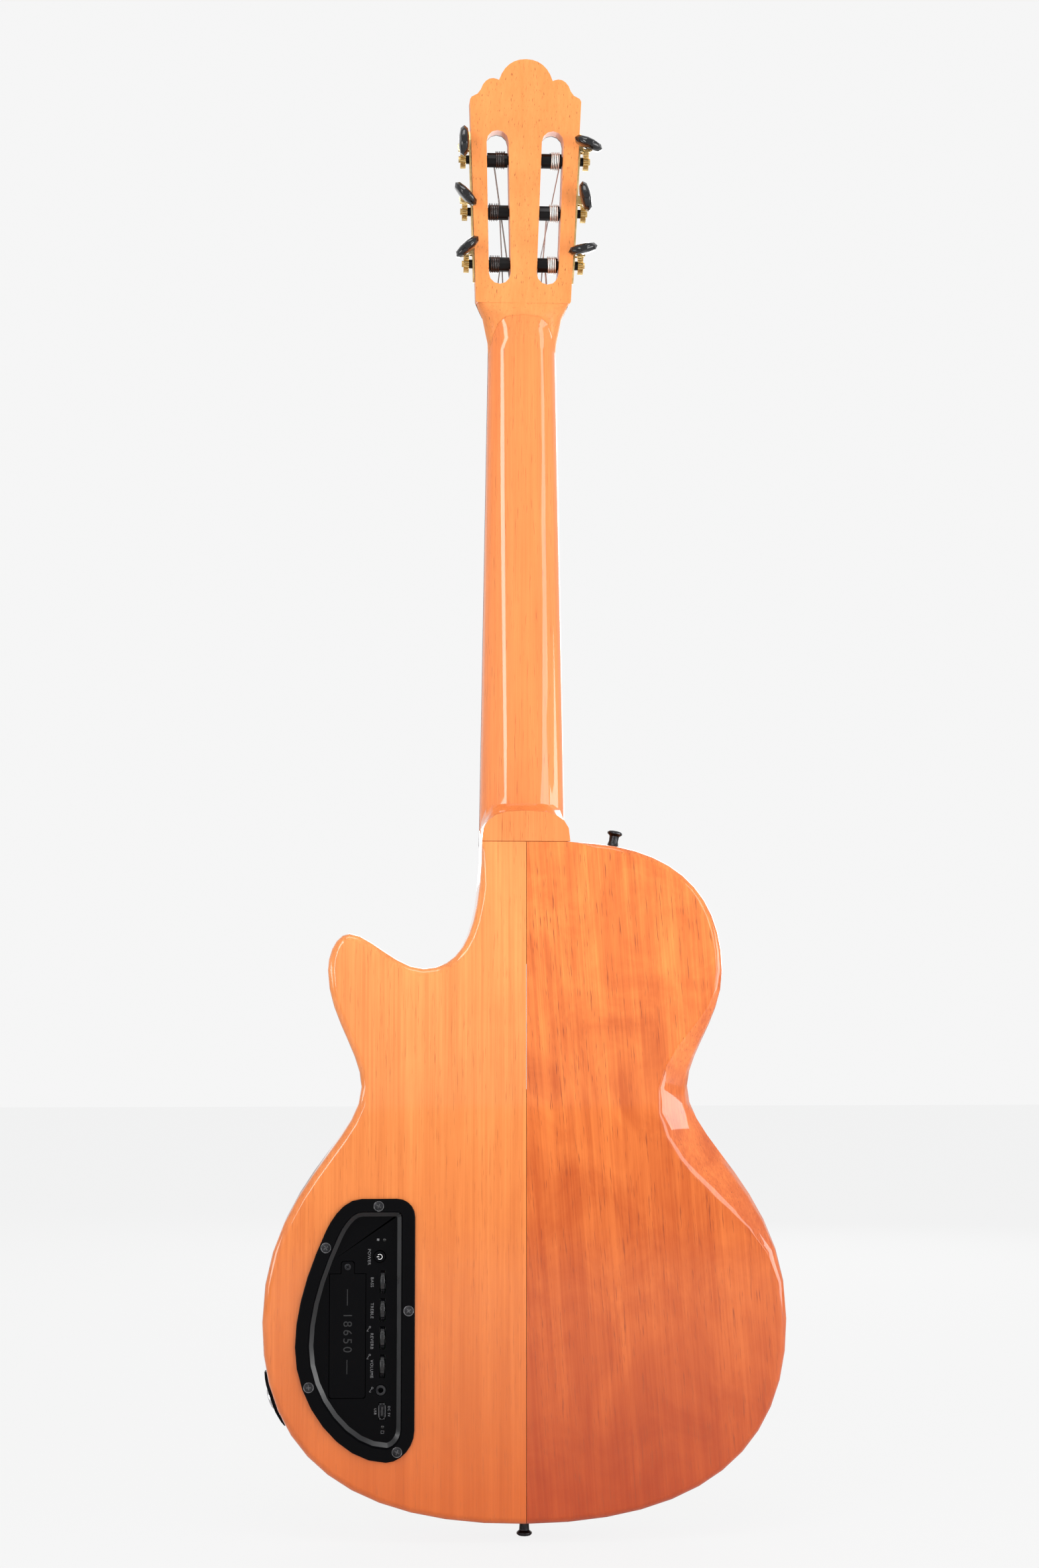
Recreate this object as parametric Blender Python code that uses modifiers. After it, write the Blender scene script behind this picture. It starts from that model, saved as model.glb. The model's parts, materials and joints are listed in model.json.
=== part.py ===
"""Thin-bodied nylon-string crossover guitar with a let-in control panel, at its real size.

Metres, +Z up the neck. The back faces -Y and the soundboard +Y. +X is the bass side, -X the cutaway side.
The origin is at the tail, on the centre seam and at half the body's depth.
"""

import math

import bmesh
import bpy
from mathutils import Matrix, Vector

# Clearances
FIT = 0.0003  # between pieces that seat on each other
RUNNING = 0.0004  # round a shaft, wheel or button that turns or slides

# Body
BODY_LENGTH = 0.4372
BODY_DEPTH = 0.050
LOWER_BOUT = 0.3388
LOWER_BOUT_Z = 0.128
WAIST = 0.2138
WAIST_Z = 0.2777
UPPER_BOUT = 0.2584
UPPER_BOUT_Z = 0.353
HORN_X = -0.115
HORN_Z = 0.377
CUTAWAY_X = -0.067
CUTAWAY_Z = 0.3542
HORN_PULL = 0.012
CUTAWAY_PULL = 0.017
TOP_THICKNESS = 0.003
BACK_THICKNESS = 0.006
RIM_WALL = 0.012
BACK_ROUND = 0.005
FRONT_ROUND = 0.002
BELLY_WIDTH = 0.021
BELLY_DEPTH = 0.014
BELLY_LOW_Z = 0.150
BELLY_HIGH_Z = 0.346
SOUNDHOLE_DIAMETER = 0.084
BRACE_HEIGHT = 0.011
BRACE_WIDTH = 0.007
BRACE_TAPER = 0.03
CHAMBER_HEIGHTS = (0.024, 0.048, 0.088, 0.130, 0.165, 0.215, 0.262, 0.290, 0.318)
CHAMBER_HEIGHTS_ABOVE = (0.350, 0.375, 0.395)

# Neck and fingerboard
SCALE_LENGTH = 0.650
JOINT_FRET = 14
FRET_COUNT = 19
NUT_WIDTH = 0.046
JOINT_WIDTH = 0.058
NECK_DEPTH_NUT = 0.0155
NECK_DEPTH_HEEL = 0.0175
FINGERBOARD_THICKNESS = 0.006
FRET_HEIGHT = 0.0010
FRET_WIDTH = 0.0020
NUT_THICKNESS = 0.005
HEEL_LENGTH = 0.0202
HEEL_COVE = 0.020
HEEL_CAP_THICKNESS = 0.003
TENON_WIDTH = 0.022
TENON_LENGTH = 0.018
ROD_DIAMETER = 0.006

# Headstock
HEAD_ANGLE = math.radians(11)
HEAD_THICKNESS = 0.018
VENEER_THICKNESS = 0.002
HEAD_LENGTH = 0.172
HEAD_LOW_WIDTH = 0.065
HEAD_START = 0.0095
HEAD_HIGH_WIDTH = 0.0756
SLOT_WIDTH = 0.015
SLOT_LOW = 0.022
SLOT_LENGTH = 0.1026
SLOT_LOW_X = 0.0162
SLOT_HIGH_X = 0.0190
SCARF_ANGLE = math.radians(20)

# Tuners
TUNER_PITCH = 0.035
TUNER_LOW = 0.036
ROLLER_DIAMETER = 0.010
JOURNAL_DIAMETER = 0.006
PLATE_THICKNESS = 0.0012
PLATE_WIDTH = 0.0125
GEAR_TEETH = 16
GEAR_PITCH_RADIUS = 0.00545
GEAR_ADDENDUM = 0.00055
GEAR_DEDENDUM = 0.00075
GEAR_WIDTH = 0.0036
WORM_PITCH_RADIUS = 0.00325
WORM_ADDENDUM = 0.00055
WORM_DEDENDUM = 0.00085
WORM_TURNS = 3.0
TOOTH_SLACK = 0.00024
SHAFT_DIAMETER = 0.0026
EAR_THICKNESS = 0.0013
BUTTON_WIDTH = 0.021
BUTTON_LENGTH = 0.015
BUTTON_THICKNESS = 0.007
BUTTON_STANDOFF = 0.0048
KNOB_TURNS = {"g": 90, "b": -45, "high_e": 43, "d": -23, "a": 104, "low_e": 13}

# Strings and bridge
NUT_SPACING = 0.0078
BRIDGE_SPACING = 0.0118
STRING_DIAMETERS = {
    "low_e": 0.0011,
    "a": 0.0009,
    "d": 0.0008,
    "g": 0.0010,
    "b": 0.0008,
    "high_e": 0.0007,
}
WINDING_TUBE = 0.0007
WINDING_PITCH = 0.00118
WINDING_TURNS = 5.25
WINDING_OUTER = {"g": 0.0197, "b": 0.0243, "high_e": 0.0237, "d": 0.0239, "a": 0.0250, "low_e": 0.0246}
COMPENSATION = 0.0014
SADDLE_THICKNESS = 0.0024
SADDLE_LENGTH = 0.080
SADDLE_HEIGHT = 0.0115
BRIDGE_LENGTH = 0.184
BRIDGE_WIDTH = 0.029
BRIDGE_HEIGHT = 0.009
TIE_BLOCK_LENGTH = 0.084
TIE_BLOCK_WIDTH = 0.012
WING_HEIGHT = 0.0035

# Strap pins and output jack
PIN_LENGTH = 0.0108
PIN_FLANGE = 0.0100
PIN_UPPER_X = 0.0545
JACK_PLATE_LENGTH = 0.034
JACK_PLATE_WIDTH = 0.026
JACK_PLATE_THICKNESS = 0.0022
JACK_BORE = 0.00635
JACK_Z = 0.078

# Control panel
PANEL_INSET = 0.0977
PANEL_WIDTH = 0.0764
PANEL_EDGE_X = PANEL_INSET - LOWER_BOUT / 2
PANEL_WIDEST_X = PANEL_EDGE_X - PANEL_WIDTH
PANEL_WIDEST_Z = 0.113
PANEL_TOP_Z = 0.2064
PANEL_BOTTOM_Z = 0.0405
PANEL_THICKNESS = 0.002
PANEL_RIM = 0.008
TUB_DEPTH = 0.0053
TUB_FLOOR = 0.0015
PANEL_SEAT = 0.005
CONTROL_INSET = 0.0207
CONTROL_X = PANEL_EDGE_X - CONTROL_INSET
WHEEL_RADIUS = 0.008
WHEEL_THICKNESS = 0.003
WHEEL_PROUD = 0.0025
WHEEL_TOP_Z = 0.1532
WHEEL_PITCH = 0.0177
WHEEL_COUNT = 4
BUTTON_Z = 0.1694
BUTTON_INSET = 0.0227
BUTTON_X = PANEL_EDGE_X - BUTTON_INSET
POWER_DIAMETER = 0.0074
POWER_TRAVEL = 0.0012
POWER_PROUD = 0.0016
SOCKET_INSET = 0.0216
SOCKET_X = PANEL_EDGE_X - SOCKET_INSET
SOCKET_Z = 0.0851
SOCKET_DIAMETER = 0.0066
SOCKET_BORE = 0.0035
USB_Z = 0.0718
USB_LENGTH = 0.0105
USB_WIDTH = 0.0037
LAMP_INSETS = (0.0197, 0.0204)
LAMP_HEIGHTS = (0.1799, 0.0620)
LAMPS = tuple((PANEL_EDGE_X - inset, z) for inset, z in zip(LAMP_INSETS, LAMP_HEIGHTS))
LAMP_DIAMETER = 0.0020
DOOR_INSET = 0.0317
DOOR_WIDTH = 0.0229
DOOR_RIGHT = PANEL_EDGE_X - DOOR_INSET
DOOR_LEFT = DOOR_RIGHT - DOOR_WIDTH
DOOR_BOTTOM = 0.0802
DOOR_TOP = 0.1584
DOOR_TAB_WIDTH = 0.0081
DOOR_TAB_LENGTH = 0.0079
DOOR_THICKNESS = 0.0015
CELL_DIAMETER = 0.0184
CELL_LENGTH = 0.066
TRAY_WALL = 0.0014
BOARD_THICKNESS = 0.0016

# Values that follow from those above
BACK_Y = -BODY_DEPTH / 2
FRONT_Y = BODY_DEPTH / 2
BOARD_FRONT_Y = FRONT_Y - TOP_THICKNESS - FIT
CHAMBER_FLOOR_Y = BACK_Y + BACK_THICKNESS
FINGERBOARD_Y = FRONT_Y + FIT
STRING_REST_Y = FINGERBOARD_Y + FINGERBOARD_THICKNESS + 0.0012


def fret_distance(number):
    """Distance from the nut to a fret, by equal temperament."""
    return SCALE_LENGTH * (1 - 2 ** (-number / 12))


NUT_Z = BODY_LENGTH + fret_distance(JOINT_FRET)
SADDLE_Z = NUT_Z - SCALE_LENGTH - COMPENSATION
FINGERBOARD_END_Z = NUT_Z - fret_distance(FRET_COUNT) - 2 * FRET_WIDTH
SOUNDHOLE_Z = FINGERBOARD_END_Z - SOUNDHOLE_DIAMETER / 2 - 0.0025
HEAD_ORIGIN = Vector((0, FRONT_Y, NUT_Z + NUT_THICKNESS + FIT))
HEAD_UP = Vector((0, -math.sin(HEAD_ANGLE), math.cos(HEAD_ANGLE)))
HEAD_FRONT = Vector((0, math.cos(HEAD_ANGLE), math.sin(HEAD_ANGLE)))
GEAR_STANDOFF = WORM_PITCH_RADIUS + WORM_ADDENDUM + RUNNING - GEAR_WIDTH / 2
CENTRE_DISTANCE = GEAR_PITCH_RADIUS + WORM_PITCH_RADIUS
WORM_LEAD = 2 * math.pi * GEAR_PITCH_RADIUS / GEAR_TEETH
HEAD_SCREW_U = 0.1445


# Scene, collections and materials
for leftover in list(bpy.data.objects):
    bpy.data.objects.remove(leftover, do_unlink=True)

PARTS = bpy.data.collections.new("crossover_guitar")
CUTTERS = bpy.data.collections.new("guitar_cutters")
bpy.context.scene.collection.children.link(PARTS)
bpy.context.scene.collection.children.link(CUTTERS)


def finish(name, color, roughness, metallic=0.0):
    """A Principled material in one plain colour."""
    made = bpy.data.materials.new(name)
    made.use_nodes = True
    shader = made.node_tree.nodes["Principled BSDF"]
    shader.inputs["Base Color"].default_value = (*color, 1.0)
    shader.inputs["Roughness"].default_value = roughness
    shader.inputs["Metallic"].default_value = metallic
    return made


GOLDEN_WOOD = finish("golden_mahogany", (0.46, 0.17, 0.055), 0.12)
RED_WOOD = finish("red_mahogany", (0.40, 0.12, 0.06), 0.12)
NECK_WOOD = finish("neck_mahogany", (0.36, 0.11, 0.05), 0.15)
HEAD_WOOD = finish("satin_mahogany", (0.28, 0.075, 0.035), 0.45)
SPRUCE = finish("spruce_top", (0.70, 0.48, 0.24), 0.15)
ROSEWOOD = finish("dark_rosewood", (0.035, 0.018, 0.012), 0.40)
BONE = finish("bone", (0.80, 0.76, 0.64), 0.35)
BRASS = finish("aged_brass", (0.62, 0.42, 0.16), 0.30, 1.0)
STEEL = finish("plain_steel", (0.55, 0.55, 0.56), 0.35, 1.0)
BLACK_GLOSS = finish("black_button", (0.012, 0.012, 0.013), 0.15)
BLACK_SATIN = finish("black_panel", (0.016, 0.016, 0.017), 0.45)
BLACK_METAL = finish("black_pin", (0.03, 0.03, 0.032), 0.25, 1.0)
NYLON = finish("clear_nylon", (0.25, 0.22, 0.20), 0.25)
WOUND = finish("silver_wound", (0.66, 0.66, 0.68), 0.35, 1.0)
GREEN_BOARD = finish("circuit_green", (0.02, 0.12, 0.05), 0.50)
CELL_LABEL = finish("cell_sleeve", (0.30, 0.32, 0.36), 0.30)


# Objects, meshes and modifiers
def add_part(name, data, material):
    """Puts a mesh or curve in the guitar's collection as a named piece."""
    part = bpy.data.objects.new(name, data)
    PARTS.objects.link(part)
    data.materials.clear()
    data.materials.append(material)
    return part


def add_cutter(name, data):
    """Puts a mesh or curve among the cutters, which no render shows."""
    cutter = bpy.data.objects.new(name, data)
    CUTTERS.objects.link(cutter)
    cutter.hide_render = True
    cutter.display_type = "WIRE"
    return cutter


def combine(part, tool, operation):
    """Adds a Boolean modifier."""
    step = part.modifiers.new(f"{operation.title()} {tool.name}", "BOOLEAN")
    step.operation = operation
    step.object = tool


def cut(part, *tools):
    """Takes each tool away from the part."""
    for tool in tools:
        combine(part, tool, "DIFFERENCE")


def join(part, *tools):
    """Makes the part and each tool one solid."""
    for tool in tools:
        combine(part, tool, "UNION")


def use_manifold(part):
    """Has a part's Booleans take the manifold solver, where many edges nearly meet."""
    for step in part.modifiers:
        step.solver = "MANIFOLD"


def mesh_from(name, bm):
    """Turns a bmesh into a mesh whose faces point outwards."""
    bmesh.ops.recalc_face_normals(bm, faces=bm.faces)
    if bm.calc_volume(signed=True) < 0:
        bmesh.ops.reverse_faces(bm, faces=bm.faces)
    mesh = bpy.data.meshes.new(name)
    bm.to_mesh(mesh)
    bm.free()
    return mesh


def smooth(mesh, degrees=35):
    """Shades round faces smooth and keeps real edges sharp."""
    mesh.shade_smooth()
    mesh.set_sharp_from_angle(angle=math.radians(degrees))
    return mesh


def loft_mesh(name, rings):
    """A closed skin over rings that have the same number of points, with flat ends."""
    bm = bmesh.new()
    rows = [[bm.verts.new(point) for point in ring] for ring in rings]
    for low, high in zip(rows, rows[1:]):
        for here in range(len(low)):
            there = (here + 1) % len(low)
            bm.faces.new((low[here], low[there], high[there], high[here]))
    bm.faces.new(rows[0])
    bm.faces.new(rows[-1])
    return smooth(mesh_from(name, bm))


def box_mesh(name, *boxes):
    """One mesh of boxes, each given by two opposite corners."""
    bm = bmesh.new()
    for low, high in boxes:
        size = [abs(b - a) for a, b in zip(low, high)]
        middle = [(a + b) / 2 for a, b in zip(low, high)]
        bmesh.ops.create_cube(bm, size=1, matrix=Matrix.Translation(middle) @ Matrix.Diagonal((*size, 1)))
    return mesh_from(name, bm)


def rod_mesh(name, *rods, sides=16):
    """One mesh of plain rods, each given by its two ends and its diameter."""
    bm = bmesh.new()
    for start, end, diameter in rods:
        start, end = Vector(start), Vector(end)
        turn = (end - start).to_track_quat("Z", "Y").to_matrix().to_4x4()
        place = Matrix.Translation((start + end) / 2) @ turn
        bmesh.ops.create_cone(
            bm,
            cap_ends=True,
            segments=sides,
            radius1=diameter / 2,
            radius2=diameter / 2,
            depth=(end - start).length,
            matrix=place,
        )
    return smooth(mesh_from(name, bm))


def turned(name, profile, place, sides=16, closed=False):
    """A turned mesh object among the cutters. The profile lists (radius, height), down the outer side."""
    corners = [(radius, 0, height) for radius, height in profile]
    edges = [(here, here + 1) for here in range(len(corners) - 1)]
    if closed:
        edges.append((len(corners) - 1, 0))
    mesh = bpy.data.meshes.new(name)
    mesh.from_pydata(corners, edges, [])
    made = add_cutter(name, mesh)
    made.matrix_world = place
    turn = made.modifiers.new("Turn", "SCREW")
    turn.steps = turn.render_steps = sides
    turn.use_merge_vertices = True
    turn.merge_threshold = 0.00001
    return made


def evaluated_mesh(name, source):
    """The mesh that an object's modifiers or curve make, welded, in the object's own space."""
    bpy.context.view_layer.update()
    graph = bpy.context.evaluated_depsgraph_get()
    mesh = bpy.data.meshes.new_from_object(source.evaluated_get(graph))
    mesh.name = name
    bm = bmesh.new()
    bm.from_mesh(mesh)
    bmesh.ops.remove_doubles(bm, verts=bm.verts, dist=0.000001)
    bm.to_mesh(mesh)
    bm.free()
    return mesh


def turned_part(name, profile, place, material, sides=16, closed=False):
    """A turned piece of the guitar, with its origin on its axis."""
    guide = turned(f"{name}_profile", profile, Matrix.Identity(4), sides, closed)
    part = add_part(name, smooth(evaluated_mesh(name, guide)), material)
    part.matrix_world = place
    bpy.data.objects.remove(guide, do_unlink=True)
    return part


def plate_mesh(name, outlines, thickness, place):
    """A flat outline, with any holes, made thick about its own plane and put in place."""
    curve = bpy.data.curves.new(name, "CURVE")
    curve.dimensions = "2D"
    curve.fill_mode = "BOTH"
    curve.extrude = thickness / 2
    for outline in outlines:
        spline = curve.splines.new("POLY")
        spline.points.add(len(outline) - 1)
        for point, (across, along) in zip(spline.points, outline):
            point.co = (across, along, 0, 1)
        spline.use_cyclic_u = True
    guide = add_cutter(name, curve)
    mesh = evaluated_mesh(name, guide)
    bpy.data.objects.remove(guide, do_unlink=True)
    mesh.transform(place)
    return smooth(mesh)


def tube_part(name, points, diameter, material, resolution=1):
    """A wire along given points, as a curve with a round bevel and closed ends."""
    curve = bpy.data.curves.new(name, "CURVE")
    curve.dimensions = "3D"
    curve.bevel_depth = diameter / 2
    curve.bevel_resolution = resolution
    curve.use_fill_caps = True
    spline = curve.splines.new("POLY")
    spline.points.add(len(points) - 1)
    for point, place in zip(spline.points, points):
        point.co = (*place, 1)
    return add_part(name, curve, material)


# Plane shapes
def bezier(start, first, second, end, count):
    """Points along a cubic curve, without its end."""
    points = []
    for step in range(count):
        t = step / count
        weights = ((1 - t) ** 3, 3 * t * (1 - t) ** 2, 3 * t * t * (1 - t), t**3)
        corners = (start, first, second, end)
        points.append(tuple(sum(w * c[axis] for w, c in zip(weights, corners)) for axis in (0, 1)))
    return points


def smooth_loop(corners, count):
    """A closed curve through the corners, with so many points to each stretch."""
    points = []
    for here in range(len(corners)):
        before, start, end, after = (Vector(corners[(here + k) % len(corners)]) for k in (-1, 0, 1, 2))
        first = start + (end - before) / 6
        second = end - (after - start) / 6
        points += bezier(start, first, second, end, count)
    return points


def inset(outline, distances):
    """A clockwise outline drawn in by its own distance at each point."""
    drawn = []
    for here, (across, along) in enumerate(outline):
        before = outline[here - 1]
        after = outline[(here + 1) % len(outline)]
        run = Vector((after[0] - before[0], after[1] - before[1])).normalized()
        drawn.append((across + run.y * distances[here], along - run.x * distances[here]))
    return drawn


def stadium(low, high, width, count=6):
    """A slot with round ends between two centres."""
    run = (Vector(high) - Vector(low)).normalized()
    side = Vector((run.y, -run.x))
    points = []
    for centre, sign in ((Vector(high), 1), (Vector(low), -1)):
        for step in range(count + 1):
            angle = math.pi * step / count
            reach = side * math.cos(angle) + run * math.sin(angle)
            points.append(tuple(centre + sign * width / 2 * reach))
    return points


def body_plane(y):
    """Places a plane shape across the body: its second axis runs up and its thickness along Y."""
    return Matrix(((1, 0, 0, 0), (0, 0, -1, y), (0, 1, 0, 0), (0, 0, 0, 1)))


def head_point(across, along, height):
    """A point given in the headstock's own plane, height being towards its front."""
    return HEAD_ORIGIN + Vector((across, 0, 0)) + along * HEAD_UP + height * HEAD_FRONT


def head_frame(point, first, second, third):
    """A frame with its origin at a point and three given axes."""
    columns = (first, second, third, point)
    return Matrix([[column[row] for column in columns] for row in range(3)] + [[0, 0, 0, 1]])


def head_plane(height):
    """Places a plane shape on the headstock: its thickness runs square to the head."""
    return head_frame(head_point(0, 0, height), Vector((1, 0, 0)), HEAD_UP, -HEAD_FRONT)


# Body
def side_outline(sign):
    """From the tail up one side to the upper bout, tail first."""
    lower, waist, upper = (sign * width / 2 for width in (LOWER_BOUT, WAIST, UPPER_BOUT))
    rise = WAIST_Z - LOWER_BOUT_Z
    neck = UPPER_BOUT_Z - WAIST_Z
    points = bezier((0, 0), (0.664 * lower, 0), (lower, 0.336 * LOWER_BOUT_Z), (lower, LOWER_BOUT_Z), 12)
    points += bezier(
        (lower, LOWER_BOUT_Z),
        (lower, LOWER_BOUT_Z + 0.568 * rise),
        (waist, WAIST_Z - 0.245 * rise),
        (waist, WAIST_Z),
        10,
    )
    points += bezier(
        (waist, WAIST_Z),
        (waist, WAIST_Z + 0.29 * neck),
        (upper, UPPER_BOUT_Z - 0.39 * neck),
        (upper, UPPER_BOUT_Z),
        7,
    )
    return points


def body_outline():
    """The whole outline, clockwise seen from the back, from the bass end of the neck joint."""
    joint = JOINT_WIDTH / 2
    upper = UPPER_BOUT / 2
    reach = upper - joint
    rise = BODY_LENGTH - UPPER_BOUT_Z
    shoulder = bezier(
        (joint, BODY_LENGTH),
        (joint + 0.65 * reach, BODY_LENGTH),
        (upper, UPPER_BOUT_Z + 0.65 * rise),
        (upper, UPPER_BOUT_Z),
        12,
    )
    bass = [(upper, UPPER_BOUT_Z)] + side_outline(1)[:0:-1]
    treble = side_outline(-1)
    horn_height = HORN_Z - UPPER_BOUT_Z
    horn = bezier(
        (-upper, UPPER_BOUT_Z),
        (-upper, UPPER_BOUT_Z + horn_height / 2),
        (HORN_X - 0.0085, HORN_Z),
        (HORN_X, HORN_Z),
        5,
    )
    tip = (HORN_X, HORN_Z)
    floor = (CUTAWAY_X, CUTAWAY_Z)
    horn += bezier(tip, (HORN_X + HORN_PULL, HORN_Z), (CUTAWAY_X - CUTAWAY_PULL, CUTAWAY_Z), floor, 6)
    horn += bezier(
        (CUTAWAY_X, CUTAWAY_Z),
        (-joint + (CUTAWAY_X + joint) * 0.24, CUTAWAY_Z),
        (-joint - 0.0008, CUTAWAY_Z + 0.37 * (BODY_LENGTH - CUTAWAY_Z)),
        (-joint, BODY_LENGTH),
        10,
    )
    return shoulder + bass + treble + horn + [(-joint, BODY_LENGTH)]


def half_width(z):
    """Half the body's width at a height, on the bass side."""
    side = [point for point in body_outline() if point[0] >= 0]
    widest = 0
    for (x0, z0), (x1, z1) in zip(side, side[1:]):
        if min(z0, z1) <= z <= max(z0, z1) and z0 != z1:
            widest = max(widest, x0 + (x1 - x0) * (z - z0) / (z1 - z0))
    return widest


def belly_share(x, z):
    """How much of the belly cut there is at a point of the outline, from 0 to 1."""
    if x <= 0 or not BELLY_LOW_Z < z < BELLY_HIGH_Z:
        return 0
    return math.sin(math.pi * (z - BELLY_LOW_Z) / (BELLY_HIGH_Z - BELLY_LOW_Z)) ** 2


def edge_share(x, z):
    """How much of an edge's rounding there is: none where the neck joins."""
    corner = math.hypot(abs(x) - JOINT_WIDTH / 2, z - BODY_LENGTH)
    return min(1, corner / (4 * BACK_ROUND))


def body_rings():
    """The outline at several depths: the rounded back edge with its belly cut, then the straight side."""
    outline = body_outline()
    edge = [edge_share(*point) for point in outline]
    belly = [belly_share(*point) for point in outline]
    rings = []
    for angle, drawn, lowered in ((0, 1, 0), (30, 0.85, 0.1), (60, 0.2, 0.75), (90, 0, 1)):
        turn = math.radians(angle)
        distances = [
            e * BACK_ROUND * (1 - math.sin(turn)) + b * drawn * BELLY_WIDTH for e, b in zip(edge, belly)
        ]
        depth = BACK_Y + BACK_ROUND * (1 - math.cos(turn))
        ring = inset(outline, distances)
        rings.append([(x, depth + b * lowered * BELLY_DEPTH, z) for (x, z), b in zip(ring, belly)])
    rings.append([(x, BOARD_FRONT_Y, z) for x, z in outline])
    return rings


def inner_half_width(z):
    """Half the chamber's width at a height, clear of the rim."""
    return min(half_width(z + shift) for shift in (-RIM_WALL, 0, RIM_WALL)) - RIM_WALL


def chamber_outline():
    """The acoustic chamber: inside the rim, round the neck block, the horn and the belly cut."""
    low = CHAMBER_HEIGHTS
    bass = []
    for z in (*low, *CHAMBER_HEIGHTS_ABOVE):
        bass.append((inner_half_width(z) - 0.85 * BELLY_WIDTH * belly_share(1, z), z))
    block = BODY_LENGTH - TENON_LENGTH - 0.028
    block_end = [(0.060, block + 0.010), (0.040, block - 0.004), (0, block - 0.010), (-0.010, block - 0.012)]
    treble = [(-0.022, CUTAWAY_Z + 0.004)]
    treble += [(-0.045, CUTAWAY_Z - 0.015), (CUTAWAY_X, CUTAWAY_Z - 0.0135), (HORN_X, CUTAWAY_Z - 0.010)]
    treble += [(-inner_half_width(z), z) for z in reversed(low)]
    return smooth_loop([(0, 1.4 * RIM_WALL)] + bass + block_end + treble, 2)


def chamber_span(z):
    """The chamber's two sides at a height."""
    outline = chamber_outline()
    crossings = []
    for (x0, z0), (x1, z1) in zip(outline, outline[1:] + outline[:1]):
        if min(z0, z1) <= z < max(z0, z1):
            crossings.append(x0 + (x1 - x0) * (z - z0) / (z1 - z0))
    return min(crossings), max(crossings)


def tenon_cutter():
    """The mortise for the neck's tenon, a fitting gap larger than it all round."""
    return add_cutter(
        "neck_mortise",
        box_mesh(
            "neck_mortise",
            (
                (-TENON_WIDTH / 2 - FIT, -0.0153, BODY_LENGTH - TENON_LENGTH - FIT),
                (TENON_WIDTH / 2 + FIT, FRONT_Y, BODY_LENGTH + 0.01),
            ),
        ),
    )


def make_boards():
    """The two carved back boards, glued at the centre seam."""
    rings = body_rings()
    depth = BOARD_FRONT_Y + 0.002 - CHAMBER_FLOOR_Y
    chamber = add_cutter(
        "chamber",
        plate_mesh("chamber", [chamber_outline()], depth, body_plane(CHAMBER_FLOOR_Y + depth / 2)),
    )
    opening = add_cutter(
        "panel_opening",
        plate_mesh("panel_opening", [panel_inset(PANEL_SEAT)], 3 * BACK_THICKNESS, body_plane(BACK_Y)),
    )
    mortise = tenon_cutter()
    bore = add_cutter("jack_hole", rod_mesh("jack_hole", jack_rod(0.050, 0.0125)))
    reach = LOWER_BOUT
    for name, sign, material in (("body_board_bass", -1, RED_WOOD), ("body_board_treble", 1, GOLDEN_WOOD)):
        other_side = add_cutter(
            f"beyond_{name}",
            box_mesh("half", ((-sign * FIT / 2, -reach, -reach), (sign * reach, reach, 2 * reach))),
        )
        board = add_part(name, loft_mesh(name, rings), material)
        cut(board, other_side, chamber, mortise)
        if sign > 0:
            cut(board, opening, bore)


def make_soundboard():
    """The spruce top with its round hole and eased edge."""
    outline = body_outline()
    edge = [edge_share(*point) for point in outline]
    rings = [[(x, FRONT_Y - TOP_THICKNESS, z) for x, z in outline]]
    for angle in (0, 90):
        turn = math.radians(angle)
        drawn = inset(outline, [e * FRONT_ROUND * (1 - math.cos(turn)) for e in edge])
        rings.append([(x, FRONT_Y - FRONT_ROUND * (1 - math.sin(turn)), z) for x, z in drawn])
    top = add_part("soundboard", loft_mesh("soundboard", rings), SPRUCE)
    hole = rod_mesh(
        "soundhole", ((0, 0, SOUNDHOLE_Z), (0, 2 * FRONT_Y, SOUNDHOLE_Z), SOUNDHOLE_DIAMETER), sides=40
    )
    cut(top, add_cutter("soundhole", hole))


def make_braces():
    """Two cross braces under the top, above and below the soundhole."""
    back = FRONT_Y - TOP_THICKNESS - FIT
    for name, z in (
        ("brace_upper", SOUNDHOLE_Z + SOUNDHOLE_DIAMETER / 2 + 1.2 * BRACE_WIDTH),
        ("brace_lower", SOUNDHOLE_Z - SOUNDHOLE_DIAMETER / 2 - 1.2 * BRACE_WIDTH),
    ):
        spans = [chamber_span(z + side * BRACE_WIDTH / 2) for side in (-1, 1)]
        low = max(span[0] for span in spans) + 2 * FIT
        high = min(span[1] for span in spans) - 2 * FIT
        thin = 0.3 * BRACE_HEIGHT
        side = [(low, -thin), (low, 0), (high, 0), (high, -thin)]
        side += [(high - BRACE_TAPER, -BRACE_HEIGHT), (low + BRACE_TAPER, -BRACE_HEIGHT)]
        place = Matrix(((1, 0, 0, 0), (0, 1, 0, back), (0, 0, 1, z), (0, 0, 0, 1)))
        add_part(name, plate_mesh(name, [side], BRACE_WIDTH, place), SPRUCE)


# Neck, heel and headstock
def neck_share(z):
    """0 at the body joint and 1 at the nut."""
    return (z - BODY_LENGTH) / (NUT_Z - BODY_LENGTH)


def neck_half_width(z):
    """Half the neck's width at a height."""
    return (JOINT_WIDTH + (NUT_WIDTH - JOINT_WIDTH) * neck_share(z)) / 2


def neck_ring(half, depth, power, place, count=10):
    """A D-shaped section: flat in front and a rounded back, in a frame of across, back and up."""
    ring = []
    for step in range(count + 1):
        angle = math.pi * step / count
        cosine, sine = math.cos(angle), math.sin(angle)
        across = half * math.copysign(abs(cosine) ** (2 / power), cosine)
        ring.append(place @ Vector((across, -depth * abs(sine) ** (2 / power), 0)))
    return ring


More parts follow.
